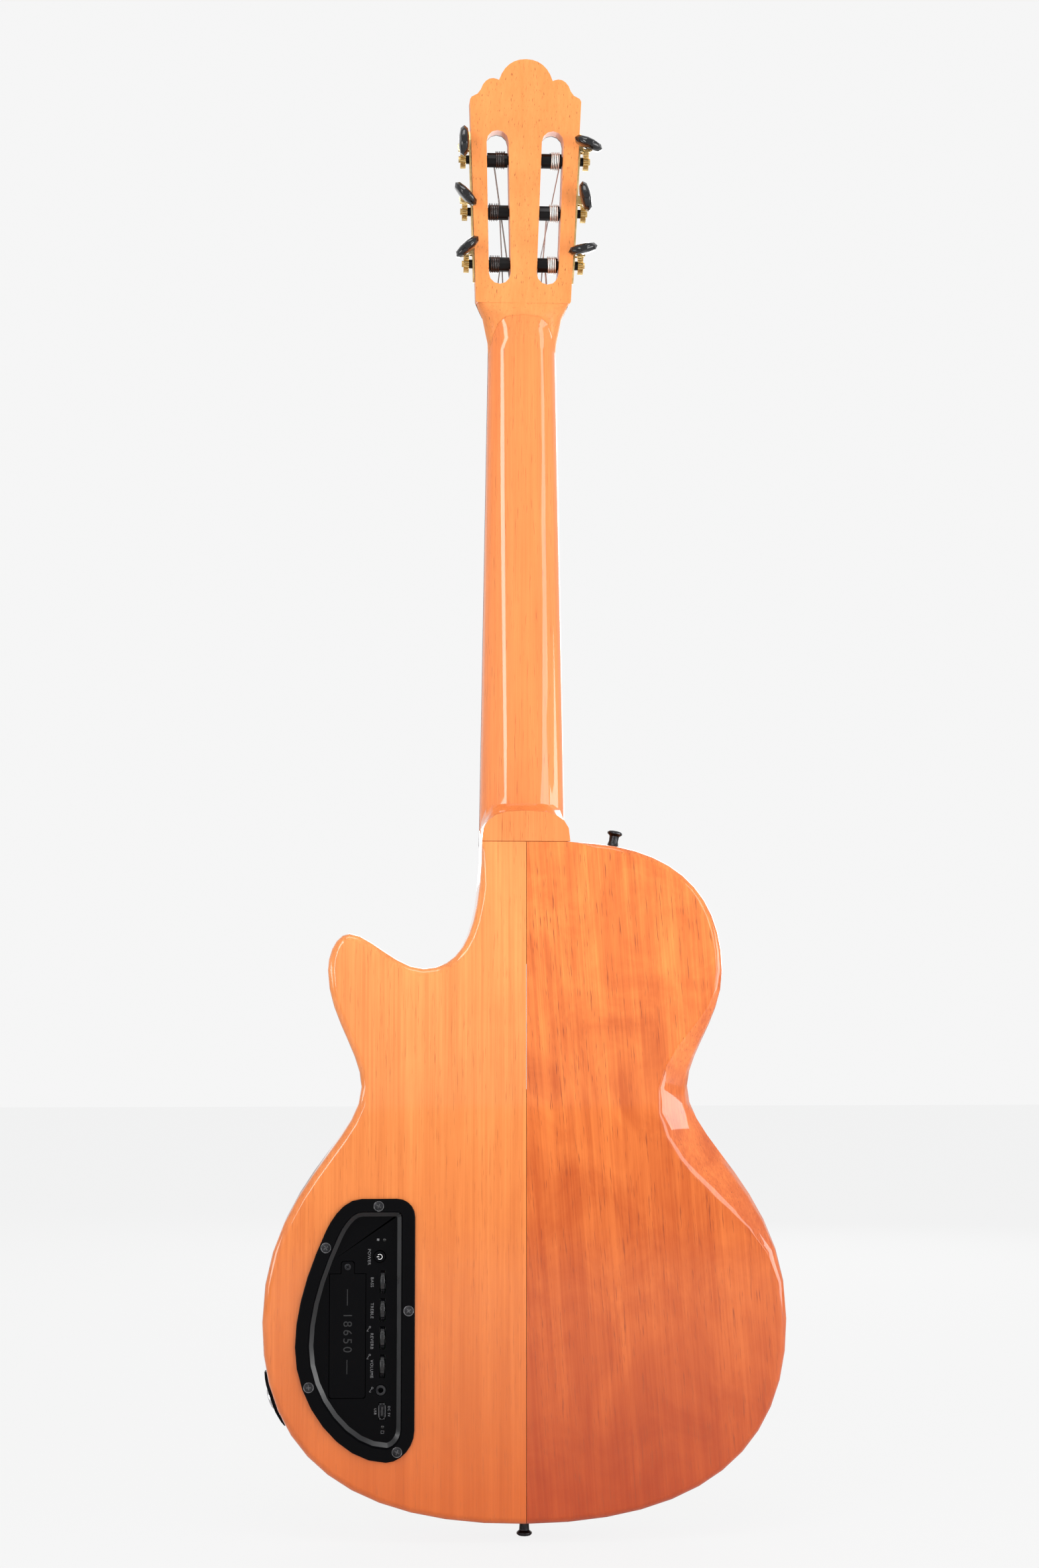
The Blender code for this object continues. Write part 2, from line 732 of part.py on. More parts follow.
def head_half_width(along):
    """Half the headstock's width where it flares out of the neck, then up its straight sides."""
    low, high = HEAD_LOW_WIDTH / 2, HEAD_HIGH_WIDTH / 2
    stations = ((-0.0065, low - 0.0078), (-0.0011, low - 0.0057), (0.0042, low - 0.0030), (0.0108, low))
    stations += ((HEAD_SCREW_U, high),)
    for (u0, w0), (u1, w1) in zip(stations, stations[1:]):
        if along <= u1:
            return w0 + (w1 - w0) * (along - u0) / (u1 - u0)
    return high


def neck_rings():
    """Sections from inside the heel to inside the headstock, thickening where the head begins."""
    rings = []
    start = BODY_LENGTH + 0.4 * HEEL_LENGTH
    ramp = NUT_Z - 0.020
    for z in (start, start + 0.3 * (ramp - start), start + 0.65 * (ramp - start), ramp):
        depth = NECK_DEPTH_HEEL + (NECK_DEPTH_NUT - NECK_DEPTH_HEEL) * neck_share(z)
        place = Matrix.Translation((0, FRONT_Y, z))
        rings.append(neck_ring(neck_half_width(z), depth, 2.3, place))
    for z, share, power in ((NUT_Z - 0.012, 0.15, 2.3), (NUT_Z - 0.005, 0.55, 2.4)):
        depth = NECK_DEPTH_NUT + share * (HEAD_THICKNESS - NECK_DEPTH_NUT)
        half = neck_half_width(z) + 0.0006 * share / 0.15
        rings.append(neck_ring(half, depth, power, Matrix.Translation((0, FRONT_Y, z))))
    for along, power, share in ((0.0, 2.8, 0.0), (0.0065, 5.5, 0.5), (0.0125, 16, 1.0)):
        turn = Matrix.Rotation(HEAD_ANGLE * (0.6 + 0.4 * min(1, along / 0.0065)), 4, "X")
        place = Matrix.Translation(head_point(0, along, 0)) @ turn
        depth = HEAD_THICKNESS - 0.0001 * share
        rings.append(neck_ring(head_half_width(along) - 0.0001 * share, depth, power, place))
    return rings


def heel_outline(length, count=10):
    """The heel's shape seen from the back, from the joint up to its point."""
    half = JOINT_WIDTH / 2
    points = []
    for step in range(count + 1):
        angle = math.pi * step / count
        cosine, sine = math.cos(angle), math.sin(angle)
        across = half * math.copysign(abs(cosine) ** (2 / 2.8), cosine)
        points.append((across, BODY_LENGTH + FIT + length * sine ** (2 / 2.8)))
    return points


def heel_rings():
    """The heel from its cap to inside the shaft, hollowed into a cove."""
    low = BACK_Y + HEEL_CAP_THICKNESS + FIT
    high = FRONT_Y - 0.55 * NECK_DEPTH_HEEL
    rings = []
    for step in range(7):
        share = step / 6
        reach = HEEL_LENGTH + HEEL_COVE * (1 - math.sqrt(1 - (0.98 * share) ** 2))
        rings.append([(x, low + share * (high - low), z) for x, z in heel_outline(reach)])
    return rings


def scarf_cutter(name, side):
    """Everything on one side of the slanted glue joint under the nut."""
    start = head_point(0, 0.0022, -HEAD_THICKNESS)
    run = (HEAD_FRONT - HEAD_UP / math.tan(SCARF_ANGLE)).normalized()
    across = Vector((1, 0, 0))
    upward = across.cross(run)
    reach = SCALE_LENGTH
    place = head_frame(start + upward * side * (reach - FIT / 2), across, run, upward)
    mesh = box_mesh(name, ((-reach, -reach, -reach), (reach, reach, reach)))
    mesh.transform(place)
    return add_cutter(name, mesh)


def make_neck():
    """The shaft with its heel and tenon, up to the scarf joint."""
    neck = add_part("neck", loft_mesh("neck", neck_rings()), NECK_WOOD)
    heel = add_cutter("heel", loft_mesh("heel", heel_rings()))
    tenon_mesh = box_mesh(
        "tenon",
        (
            (-TENON_WIDTH / 2, -0.015, BODY_LENGTH - TENON_LENGTH),
            (TENON_WIDTH / 2, BOARD_FRONT_Y - 0.001, BODY_LENGTH + 0.006),
        ),
    )
    tenon = add_cutter("tenon", tenon_mesh)
    joint_mesh = box_mesh(
        "joint_block",
        (
            (-JOINT_WIDTH / 2 + 0.0001, FRONT_Y - 0.6 * NECK_DEPTH_HEEL, BODY_LENGTH + FIT + 0.00001),
            (JOINT_WIDTH / 2 - 0.0001, FRONT_Y - 0.00001, BODY_LENGTH + 0.5 * HEEL_LENGTH),
        ),
    )
    joint = add_cutter("joint_block", joint_mesh)
    channel = add_cutter("rod_channel", box_mesh("rod_channel", rod_box(FIT)))
    join(neck, heel, joint, tenon)
    cut(neck, channel, scarf_cutter("above_scarf", 1))


def rod_box(room):
    """The truss rod's corners, with room round it."""
    half = ROD_DIAMETER / 2 + room
    low = BODY_LENGTH + 0.012
    high = NUT_Z - 0.055
    past_front = FRONT_Y + 0.001 * (room > 0)
    return (-half, FRONT_Y - ROD_DIAMETER - room, low - room), (half, past_front, high + room)


def make_truss_rod():
    """The truss rod in its channel under the fingerboard."""
    rod = box_mesh("truss_rod", rod_box(0))
    add_part("truss_rod", rod, STEEL)


def make_heel_cap():
    """The thin cap on the heel, flush with the back."""
    middle = BACK_Y + HEEL_CAP_THICKNESS / 2
    mesh = plate_mesh("heel_cap", [heel_outline(HEEL_LENGTH)], HEEL_CAP_THICKNESS, body_plane(middle))
    add_part("heel_cap", mesh, HEAD_WOOD)


def head_outline(start):
    """The headstock seen from the back, from a height up one side, over its crown and down again."""
    high = HEAD_HIGH_WIDTH / 2
    top = HEAD_LENGTH
    side = [(head_half_width(along), along) for along in (start, 0.0042, 0.0108) if along >= start]
    side += [(high, HEAD_SCREW_U)]
    notch = (high - 0.0073, 0.1514)
    lobe = (high - 0.0157, 0.1590)
    valley = (high - 0.0196, 0.1579)
    side += bezier((high - 0.001, 0.1464), (high - 0.004, 0.1478), (high - 0.0068, 0.1490), notch, 2)
    side += bezier(notch, (high - 0.0085, 0.1562), (high - 0.0125, 0.1594), lobe, 4)
    side += bezier(lobe, (high - 0.0175, 0.1588), (high - 0.0186, 0.1583), valley, 2)
    side += bezier(valley, (high - 0.0225, top - 0.0050), (0.009, top), (0, top), 6)
    mirrored = [(-x, y) for x, y in reversed(side)]
    return side + [(0, top)] + mirrored


def slot_centre(along):
    """How far a string slot's middle is from the centreline, at a height up the head."""
    share = (along - SLOT_LOW) / SLOT_LENGTH
    return SLOT_LOW_X + share * (SLOT_HIGH_X - SLOT_LOW_X)


def slot_outlines():
    """Both string slots."""
    low = SLOT_LOW + SLOT_WIDTH / 2
    high = SLOT_LOW + SLOT_LENGTH - SLOT_WIDTH / 2
    return [
        stadium((side * slot_centre(low), low), (side * slot_centre(high), high), SLOT_WIDTH)
        for side in (-1, 1)
    ]


def ramp_cutter():
    """The two ramps that let the nearest strings down into the slots."""
    bm = bmesh.new()
    for side in (-1, 1):
        middle = side * slot_centre(SLOT_LOW)
        corners = []
        wedge = ((SLOT_LOW - 0.012, 0.0034), (SLOT_LOW + 0.004, -0.0045), (SLOT_LOW + 0.004, 0.0034))
        for across in (middle - 0.44 * SLOT_WIDTH, middle + 0.44 * SLOT_WIDTH):
            for along, height in wedge:
                corners.append(bm.verts.new(head_point(across, along, height)))
        bm.faces.new(corners[:3])
        bm.faces.new(corners[3:])
        for here, there in ((0, 1), (1, 2), (2, 0)):
            bm.faces.new((corners[here], corners[there], corners[there + 3], corners[here + 3]))
    return add_cutter("string_ramps", mesh_from("string_ramps", bm))


def make_headstock():
    """The slotted head with its front veneer, both cut by the same ramps."""
    slots = slot_outlines()
    centre_plane = head_plane(-HEAD_THICKNESS / 2)
    slab = plate_mesh("headstock", [head_outline(HEAD_START)] + slots, HEAD_THICKNESS, centre_plane)
    head = add_part("headstock", slab, HEAD_WOOD)
    root = add_cutter("head_root", loft_mesh("head_root", neck_rings()))
    ramps = ramp_cutter()
    rods = []
    for along in tuner_heights():
        for side in (-1, 1):
            inner = slot_centre(along) - SLOT_WIDTH / 2 - 0.0045
            outer = head_half_width(along) + 0.002
            middle = -HEAD_THICKNESS / 2
            ends = [head_point(side * x, along, middle) for x in (inner, outer)]
            rods.append((*ends, JOURNAL_DIAMETER + 2 * RUNNING))
    bores = add_cutter("roller_bores", rod_mesh("roller_bores", *rods, sides=10))
    join(head, root)
    cut(head, scarf_cutter("below_scarf", -1), bores, ramps)
    middle = FIT + VENEER_THICKNESS / 2
    facing = plate_mesh("headstock_veneer", [head_outline(FIT)] + slots, VENEER_THICKNESS, head_plane(middle))
    veneer = add_part("headstock_veneer", facing, ROSEWOOD)
    cut(veneer, ramps)


# Fingerboard, bridge and strings
def make_fingerboard():
    """The tapered fingerboard with its frets pressed in."""
    ends = [(side * neck_half_width(z), z) for side, z in ((1, NUT_Z), (1, FINGERBOARD_END_Z))]
    outline = ends + [(-x, z) for x, z in reversed(ends)]
    middle = FINGERBOARD_Y + FINGERBOARD_THICKNESS / 2
    mesh = plate_mesh("fingerboard", [outline], FINGERBOARD_THICKNESS, body_plane(middle))
    board = add_part("fingerboard", mesh, ROSEWOOD)
    top = FINGERBOARD_Y + FINGERBOARD_THICKNESS
    frets = []
    for number in range(1, FRET_COUNT + 1):
        z = NUT_Z - fret_distance(number)
        half = neck_half_width(z) - FIT
        low = (-half, top - FRET_HEIGHT, z - FRET_WIDTH / 2)
        frets.append((low, (half, top + FRET_HEIGHT, z + FRET_WIDTH / 2)))
    join(board, add_cutter("frets", box_mesh("frets", *frets)))


def string_grid():
    """Each string's name, side and place on its side, from the bass side across."""
    names = (("low_e", 1, 0), ("a", 1, 1), ("d", 1, 2), ("g", -1, 2), ("b", -1, 1), ("high_e", -1, 0))
    return [(name, side, rank, 2.5 - index) for index, (name, side, rank) in enumerate(names)]


def saddle_string_y(name):
    """How far forward a string's middle is over the saddle."""
    return FRONT_Y + SADDLE_HEIGHT + FIT + STRING_DIAMETERS[name] / 2


def make_nut():
    """The nut with a groove for each string."""
    half = NUT_WIDTH / 2
    low = (-half, FINGERBOARD_Y, NUT_Z + FIT)
    high = (half, STRING_REST_Y + 0.0008, NUT_Z + NUT_THICKNESS)
    nut = add_part("nut", box_mesh("nut", (low, high)), BONE)
    grooves = []
    for name, _, _, place in string_grid():
        room = STRING_DIAMETERS[name] / 2 + FIT
        x = place * NUT_SPACING
        start = (x - room, STRING_REST_Y - room, NUT_Z - 0.001)
        grooves.append((start, (x + room, STRING_REST_Y + 0.003, NUT_Z + NUT_THICKNESS + 0.001)))
    cut(nut, add_cutter("nut_grooves", box_mesh("nut_grooves", *grooves)))


def make_bridge():
    """The tie-block bridge with its wings, saddle, and the pickup strip in the saddle's slot."""
    seat = FRONT_Y + FIT
    high = SADDLE_Z + 0.005
    low = high - BRIDGE_WIDTH
    tie_end = low + TIE_BLOCK_WIDTH
    half = TIE_BLOCK_LENGTH / 2
    block = box_mesh("bridge", ((-half, seat, low), (half, seat + BRIDGE_HEIGHT, high)))
    bridge = add_part("bridge", block, ROSEWOOD)
    reach = BRIDGE_LENGTH / 2
    wing_corners = ((-reach, seat, low + 0.0015), (reach, seat + WING_HEIGHT, high - 0.0015))
    wings = add_cutter("bridge_wings", box_mesh("bridge_wings", wing_corners))
    trough = box_mesh(
        "tie_trough",
        ((-half - 0.001, seat + 0.0042, tie_end), (half + 0.001, seat + 0.02, SADDLE_Z - 0.003)),
    )
    slot_floor = seat + 0.0015
    room = SADDLE_THICKNESS / 2 + FIT
    slot_corners = (
        (-SADDLE_LENGTH / 2 - FIT, slot_floor, SADDLE_Z - room),
        (SADDLE_LENGTH / 2 + FIT, seat + 0.02, SADDLE_Z + room),
    )
    holes = []
    for name, _, _, place in string_grid():
        middle = seat + 0.0058
        x = place * BRIDGE_SPACING
        near = (x - 0.0009, middle - 0.0009, low - 0.001)
        far = (x + 0.0009, middle + 0.0009, tie_end + 0.001)
        holes.append((near, far))
    join(bridge, wings)
    saddle_slot = add_cutter("saddle_slot", box_mesh("saddle_slot", slot_corners))
    cut(bridge, add_cutter("tie_trough", trough), saddle_slot)
    cut(bridge, add_cutter("tie_holes", box_mesh("tie_holes", *holes)))
    strip_top = slot_floor + FIT + 0.0012
    length = SADDLE_LENGTH / 2
    strip = (
        (-length, slot_floor + FIT, SADDLE_Z - SADDLE_THICKNESS / 2),
        (length, strip_top, SADDLE_Z + SADDLE_THICKNESS / 2),
    )
    add_part("pickup_strip", box_mesh("pickup_strip", strip), BRASS)
    back, front = strip_top + FIT, FRONT_Y + SADDLE_HEIGHT
    low_edge, high_edge = SADDLE_Z - SADDLE_THICKNESS / 2, SADDLE_Z + SADDLE_THICKNESS / 2
    section = ((back, low_edge), (front - 0.002, low_edge), (front, SADDLE_Z))
    section += ((front - 0.0004, high_edge), (back, high_edge))
    rings = [[(x, y, z) for y, z in section] for x in (-length, length)]
    add_part("saddle", loft_mesh("saddle", rings), BONE)


def tuner_heights():
    """How far up the head each roller is."""
    return [TUNER_LOW + rank * TUNER_PITCH for rank in range(3)]


def winding_radius():
    """The radius of a winding's own middle line round its roller."""
    return ROLLER_DIAMETER / 2 + WINDING_TUBE / 2 + 0.0005


def winding_window(name, rank):
    """Where a winding lies across its slot: its outer and inner ends."""
    centre = slot_centre(tuner_heights()[rank])
    outer = min(WINDING_OUTER[name], centre + SLOT_WIDTH / 2 - 2 * WINDING_TUBE)
    return outer, outer - WINDING_TURNS * WINDING_PITCH


def tangent_angle(rank):
    """How far past its roller's front the string from the nut touches the winding."""
    start = Vector((0, STRING_REST_Y, NUT_Z + NUT_THICKNESS)) - HEAD_ORIGIN
    run = tuner_heights()[rank] - start.dot(HEAD_UP)
    drop = start.dot(HEAD_FRONT) + HEAD_THICKNESS / 2
    return math.asin(winding_radius() / math.hypot(run, drop)) * -1 + math.atan2(drop, run)


def around_roller(rank, x, angle):
    """A point on the winding's middle line, by its angle from the front towards the crown."""
    along = tuner_heights()[rank] + winding_radius() * math.sin(angle)
    height = -HEAD_THICKNESS / 2 + winding_radius() * math.cos(angle)
    return head_point(x, along, height)


def winding_points(name, side, rank):
    """A winding as one unbroken coil. The string comes in at its outer end on the highest rollers."""
    outer, inner = winding_window(name, rank)
    first, last = (outer, inner) if rank == 2 else (inner, outer)
    steps = round(WINDING_TURNS * 8)
    start = tangent_angle(rank)
    points = []
    for step in range(steps + 1):
        share = step / steps
        x = side * (first + share * (last - first))
        points.append(around_roller(rank, x, start + share * WINDING_TURNS * 2 * math.pi))
    return points


def least_gap(points, width):
    """The least clear distance between a coil's turns."""
    gaps = []
    for here, point in enumerate(points):
        gaps += [(point - other).length - width for other in points[here + 5 :]]
    return min(gaps)


def make_strings():
    """Six strings from the tie block over the saddle and nut to their rollers, and their windings."""
    for name, side, rank, place in string_grid():
        material = NYLON if side < 0 else WOUND
        coil = winding_points(name, side, rank)
        print(f"winding_{name}: least gap {1000 * least_gap(coil, WINDING_TUBE):.2f} mm")
        tube_part(f"winding_{name}", coil, WINDING_TUBE, material)
        tie = FRONT_Y + FIT + 0.0058
        low = SADDLE_Z + 0.005 - BRIDGE_WIDTH
        points = [
            Vector((place * BRIDGE_SPACING, tie, low + 0.001)),
            Vector((place * BRIDGE_SPACING, tie, low + TIE_BLOCK_WIDTH)),
            Vector((place * BRIDGE_SPACING, saddle_string_y(name), SADDLE_Z)),
            Vector((place * NUT_SPACING, STRING_REST_Y, NUT_Z + NUT_THICKNESS)),
        ]
        beside = side * (WINDING_PITCH if rank == 2 else -WINDING_PITCH)
        points.append(coil[0] + Vector((beside, 0, 0)))
        tube_part(f"string_{name}", points, STRING_DIAMETERS[name], material)


# Tuners
def gear_x(rank):
    """How far a gear's middle plane is from the centreline."""
    side = head_half_width(tuner_heights()[rank])
    return side + FIT + PLATE_THICKNESS + GEAR_STANDOFF + GEAR_WIDTH / 2


def half_tooth(radius, pitch_radius):
    """Half a tooth's thickness at a radius, with flanks at twenty degrees."""
    return WORM_LEAD / 4 - TOOTH_SLACK / 2 + (pitch_radius - radius) * math.tan(math.radians(20))


def gear_mesh(name):
    """A wheel whose teeth lean as its worm's thread does."""
    root = GEAR_PITCH_RADIUS - GEAR_DEDENDUM
    tip = GEAR_PITCH_RADIUS + GEAR_ADDENDUM
    lean = WORM_LEAD / (2 * math.pi * WORM_PITCH_RADIUS) / GEAR_PITCH_RADIUS
    rings = []
    for height in (-GEAR_WIDTH / 2, GEAR_WIDTH / 2):
        ring = []
        for tooth in range(GEAR_TEETH):
            middle = 2 * math.pi * tooth / GEAR_TEETH + lean * height
            for radius, side in ((root, -1), (tip, -1), (tip, 1), (root, 1)):
                angle = middle + side * half_tooth(radius, GEAR_PITCH_RADIUS) / radius
                ring.append((radius * math.cos(angle), radius * math.sin(angle), height))
        rings.append(ring)
    return loft_mesh(name, rings)


def thread_mesh():
    """The worm's thread, one tooth wide, sunk a little into its core."""
    root = WORM_PITCH_RADIUS - WORM_DEDENDUM
    tip = WORM_PITCH_RADIUS + WORM_ADDENDUM
    steps = round(WORM_TURNS * 8)
    rings = []
    for step in range(steps + 1):
        turns = (step / steps - 0.5) * WORM_TURNS
        angle = 2 * math.pi * turns + math.pi / 2
        ring = []
        for radius, side in ((root - 0.0004, -1), (tip, -1), (tip, 1), (root - 0.0004, 1)):
            half = half_tooth(max(radius, root), WORM_PITCH_RADIUS)
            across = (radius * math.cos(angle), radius * math.sin(angle))
            ring.append((*across, WORM_LEAD * turns + side * half))
        rings.append(ring)
    return loft_mesh("thread", rings)


def ear_start():
    """Where a bearing ear begins, from the worm's middle along its shaft."""
    return WORM_TURNS * WORM_LEAD / 2 + 0.0009 + RUNNING


def button_mesh():
    """The oval button, swelling from its collar and closing on its end cap."""
    start = HEAD_THICKNESS / 2 + BUTTON_STANDOFF
    sections = ((0, 0.32, 0.80), (0.10, 0.66, 0.88), (0.30, 0.94, 1), (0.68, 0.95, 1), (0.92, 0.62, 0.84))
    sections += ((1.0, 0.24, 0.60), (1.05, 0.22, 0.58))
    rings = []
    for share, wide, thick in sections:
        ring = []
        for step in range(10):
            angle = 2 * math.pi * step / 10
            x = BUTTON_WIDTH / 2 * wide * math.cos(angle)
            y = BUTTON_THICKNESS / 2 * thick * math.copysign(abs(math.sin(angle)) ** 0.7, math.sin(angle))
            ring.append((x, y, start + share * BUTTON_LENGTH))
        rings.append(ring)
    return loft_mesh("button", rings)


def knob_mesh():
    """One shaft with its worm and button, standing on the shaft's axis."""
    half = WORM_TURNS * WORM_LEAD / 2 + 0.0009
    end = ear_start() + EAR_THICKNESS + RUNNING
    root = WORM_PITCH_RADIUS - WORM_DEDENDUM
    shaft = SHAFT_DIAMETER / 2
    top = HEAD_THICKNESS / 2 + BUTTON_STANDOFF + 0.004
    profile = [(0, top), (1.2 * shaft, top), (1.2 * shaft, end + 0.0012), (1.8 * shaft, end + 0.0012)]
    profile += [(1.8 * shaft, end), (shaft, end), (shaft, half), (root, half), (root, -half), (shaft, -half)]
    profile += [(shaft, -end), (1.6 * shaft, -end), (1.6 * shaft, -end - 0.0009), (0, -end - 0.0009)]
    guide = turned("knob_shaft", profile, Matrix.Identity(4), 8)
    join(guide, add_cutter("thread", thread_mesh()), add_cutter("button", button_mesh()))
    mesh = smooth(evaluated_mesh("knob", guide))
    bpy.data.objects.remove(guide, do_unlink=True)
    return mesh


def make_knobs():
    """Six knobs, each turned as it was left."""
    mesh = knob_mesh()
    for name, side, rank, _ in string_grid():
        place = head_point(side * gear_x(rank), tuner_heights()[rank] + CENTRE_DISTANCE, -HEAD_THICKNESS / 2)
        knob = add_part(f"knob_{name}", mesh.copy(), BLACK_GLOSS)
        turn = Matrix.Rotation(math.radians(KNOB_TURNS[name]), 4, "Z")
        knob.matrix_world = head_frame(place, Vector((1, 0, 0)), HEAD_UP, -HEAD_FRONT) @ turn


def make_rollers():
    """Six string rollers, each with its gear, turned to mesh with its worm."""
    journal, barrel = JOURNAL_DIAMETER / 2, ROLLER_DIAMETER / 2
    for name, side, rank, _ in string_grid():
        along = tuner_heights()[rank]
        middle = gear_x(rank)
        outer = slot_centre(along) + SLOT_WIDTH / 2 - 2 * FIT
        inner = slot_centre(along) - SLOT_WIDTH / 2 + 2 * FIT
        depths = [(0, -GEAR_WIDTH / 2 - 0.0012), (0.0022, -GEAR_WIDTH / 2 - 0.0012), (0.0022, 0), (journal, 0)]
        depths += [(journal, middle - outer), (barrel, middle - outer), (barrel, middle - inner)]
        depths += [(journal, middle - inner), (journal, middle - inner + 0.0042), (0, middle - inner + 0.0042)]
        profile = [(radius, -side * depth) for radius, depth in depths]
        if side < 0:
            profile.reverse()
        guide = turned(f"roller_{name}_profile", profile, Matrix.Identity(4), 12)
        join(guide, add_cutter(f"gear_{name}", gear_mesh(f"gear_{name}")))
        roller = add_part(f"roller_{name}", smooth(evaluated_mesh(f"roller_{name}", guide)), BRASS)
        bpy.data.objects.remove(guide, do_unlink=True)
        place = head_point(side * middle, along, -HEAD_THICKNESS / 2)
        turn = Matrix.Rotation(-math.radians(KNOB_TURNS[name]) / GEAR_TEETH, 4, "Z")
        roller.matrix_world = head_frame(place, HEAD_UP, -HEAD_FRONT, Vector((1, 0, 0))) @ turn


def plate_outline():
    """A side plate's wavy outline, wide at each tuner and narrow between them."""
    low = TUNER_LOW - 0.0125
    high = TUNER_LOW + 2 * TUNER_PITCH + 0.0185
    count = 18
    edge = []
    for step in range(count + 1):
        along = low + (high - low) * step / count
        wave = math.cos(2 * math.pi * (along - TUNER_LOW - CENTRE_DISTANCE / 2) / TUNER_PITCH)
        end = min(1, (0.35 + min(along - low, high - along) / 0.006))
        edge.append((along, PLATE_WIDTH / 2 * (0.87 + 0.13 * wave) * end))
    return edge + [(along, -half) for along, half in reversed(edge)]


def make_tuner_plates(bores):
    """The two side plates with an ear each side of every worm."""
    low, high = tuner_heights()[0], tuner_heights()[2]
    slope = (head_half_width(high) - head_half_width(low)) / (high - low)
    for name, side in (("tuner_plate_bass", 1), ("tuner_plate_treble", -1)):
        run = (HEAD_UP + Vector((side * slope, 0, 0))).normalized()
        seat = side * (head_half_width(0.06) + (FIT + PLATE_THICKNESS / 2) - 0.06 * slope)
        place = head_frame(head_point(seat, 0, -HEAD_THICKNESS / 2), run, HEAD_FRONT, run.cross(HEAD_FRONT))
        plate = add_part(name, plate_mesh(name, [plate_outline()], PLATE_THICKNESS, place), BRASS)
        ears, shafts = [], []
        for rank, along in enumerate(tuner_heights()):
            up = along + CENTRE_DISTANCE
            root = head_half_width(up) + FIT + PLATE_THICKNESS / 2
            for sign in (-1, 1):
                near = HEAD_THICKNESS / 2 + sign * ear_start()
                far = near + sign * EAR_THICKNESS
                corner = (side * root, up - 0.0028, near)
                ears.append((corner, (side * (gear_x(rank) + 0.0030), up + 0.0028, far)))
            x = side * gear_x(rank)
            ends = ((x, up, HEAD_THICKNESS / 2 - 0.009), (x, up, HEAD_THICKNESS / 2 + 0.009))
            shafts.append((*ends, SHAFT_DIAMETER + 2 * RUNNING))
        ear_mesh = box_mesh(f"ears_{name}", *ears)
        ear_mesh.transform(head_plane(0))
        shaft_mesh = rod_mesh(f"shaft_holes_{name}", *shafts, sides=8)
        shaft_mesh.transform(head_plane(0))
        join(plate, add_cutter(f"ears_{name}", ear_mesh))
        cut(plate, bores, add_cutter(f"shaft_holes_{name}", shaft_mesh))
        use_manifold(plate)


# Strap pins and output jack
def pin_profile():
    """A strap pin's outer side, from its rounded flange down to its foot."""
    flange = PIN_FLANGE / 2
    profile = [(0, PIN_LENGTH), (0.80 * flange, PIN_LENGTH), (flange, PIN_LENGTH - 0.0008)]
    profile += [(flange, PIN_LENGTH - 0.0020), (0.66 * flange, PIN_LENGTH - 0.0034), (0.62 * flange, 0.0040)]
    return profile + [(0.74 * flange, 0.0016), (0.90 * flange, 0.0008), (0.90 * flange, 0), (0, 0)]


def rim_frame(outline, at, rise):
    """A frame on the body's rim: its third axis points outwards."""
    before, after = outline[at - 1], outline[(at + 1) % len(outline)]
    run = Vector((after[0] - before[0], 0, after[1] - before[1])).normalized()
    outward = Vector((-run.z, 0, run.x))
    point = Vector((outline[at][0], 0, outline[at][1])) + rise * outward
    return head_frame(point, run, outward.cross(run), outward)


def make_strap_pins():
    """The upper pin on the bass shoulder and the one at the tail."""
    outline = body_outline()
    shoulder = [index for index, (x, z) in enumerate(outline) if x > 0 and z > UPPER_BOUT_Z]
    upper = min(shoulder, key=lambda index: abs(outline[index][0] - PIN_UPPER_X))
    tail = min(range(len(outline)), key=lambda index: math.hypot(*outline[index]))
    for name, at in (("strap_pin_upper", upper), ("strap_pin_tail", tail)):
        turned_part(name, pin_profile(), rim_frame(outline, at, 2 * FIT), BLACK_METAL, 12)


def treble_rim(z, rise):
    """A point on the treble rim at a height, and the way out of the wood there."""
    step = 0.001
    run = Vector((half_width(z + step) - half_width(z - step), 0, 2 * step)).normalized()
    outward = Vector((-run.z, 0, -run.x))
    return Vector((-half_width(z), 0, z)) + rise * outward, outward


def jack_rod(depth, diameter):
    """A rod on the jack's axis, from outside the rim to a depth inside it."""
    point, outward = treble_rim(JACK_Z, 0)
    return point + 0.02 * outward, point - depth * outward, diameter


def make_output_jack():
    """The black plate that follows the rim's curve, and the jack that it holds."""
    rings = []
    for step in range(11):
        share = 1.96 * (step / 10 - 0.5)
        z = JACK_Z + share * JACK_PLATE_LENGTH / 2
        half = JACK_PLATE_WIDTH / 2 * (1 - abs(share) ** 2.6) ** (1 / 2.6)
        low, outward = treble_rim(z, 2 * FIT)
        high = low + JACK_PLATE_THICKNESS * outward
        edge = 0.0006
        ring = [(low, half), (high - edge * outward, half), (high, half - edge)]
        ring += [(high, -half + edge), (high - edge * outward, -half), (low, -half)]
        rings.append([(point.x, y, point.z) for point, y in ring])
    plate = add_part("jack_plate", loft_mesh("jack_plate", rings), BLACK_SATIN)
    sleeve = 0.0046
    hole = rod_mesh("jack_plate_hole", jack_rod(0.01, 2 * (sleeve + FIT)))
    cut(plate, add_cutter("jack_plate_hole", hole))
    point, outward = treble_rim(JACK_Z, 0)
    top = 2 * FIT + JACK_PLATE_THICKNESS + FIT
    bore = JACK_BORE / 2
    profile = [(0, -0.022), (bore, -0.022), (bore, top + 0.0018), (sleeve, top + 0.0018)]
    profile += [(0.0064, top + 0.0012), (0.0064, top), (sleeve, top), (sleeve, -0.013), (0.0058, -0.013)]
    profile += [(0.0058, -0.0245), (0, -0.0245)]
    across = Vector((0, 1, 0))
    place = head_frame(point, across, outward.cross(across), outward)
    turned_part("output_jack", profile, place, BRASS, 16)


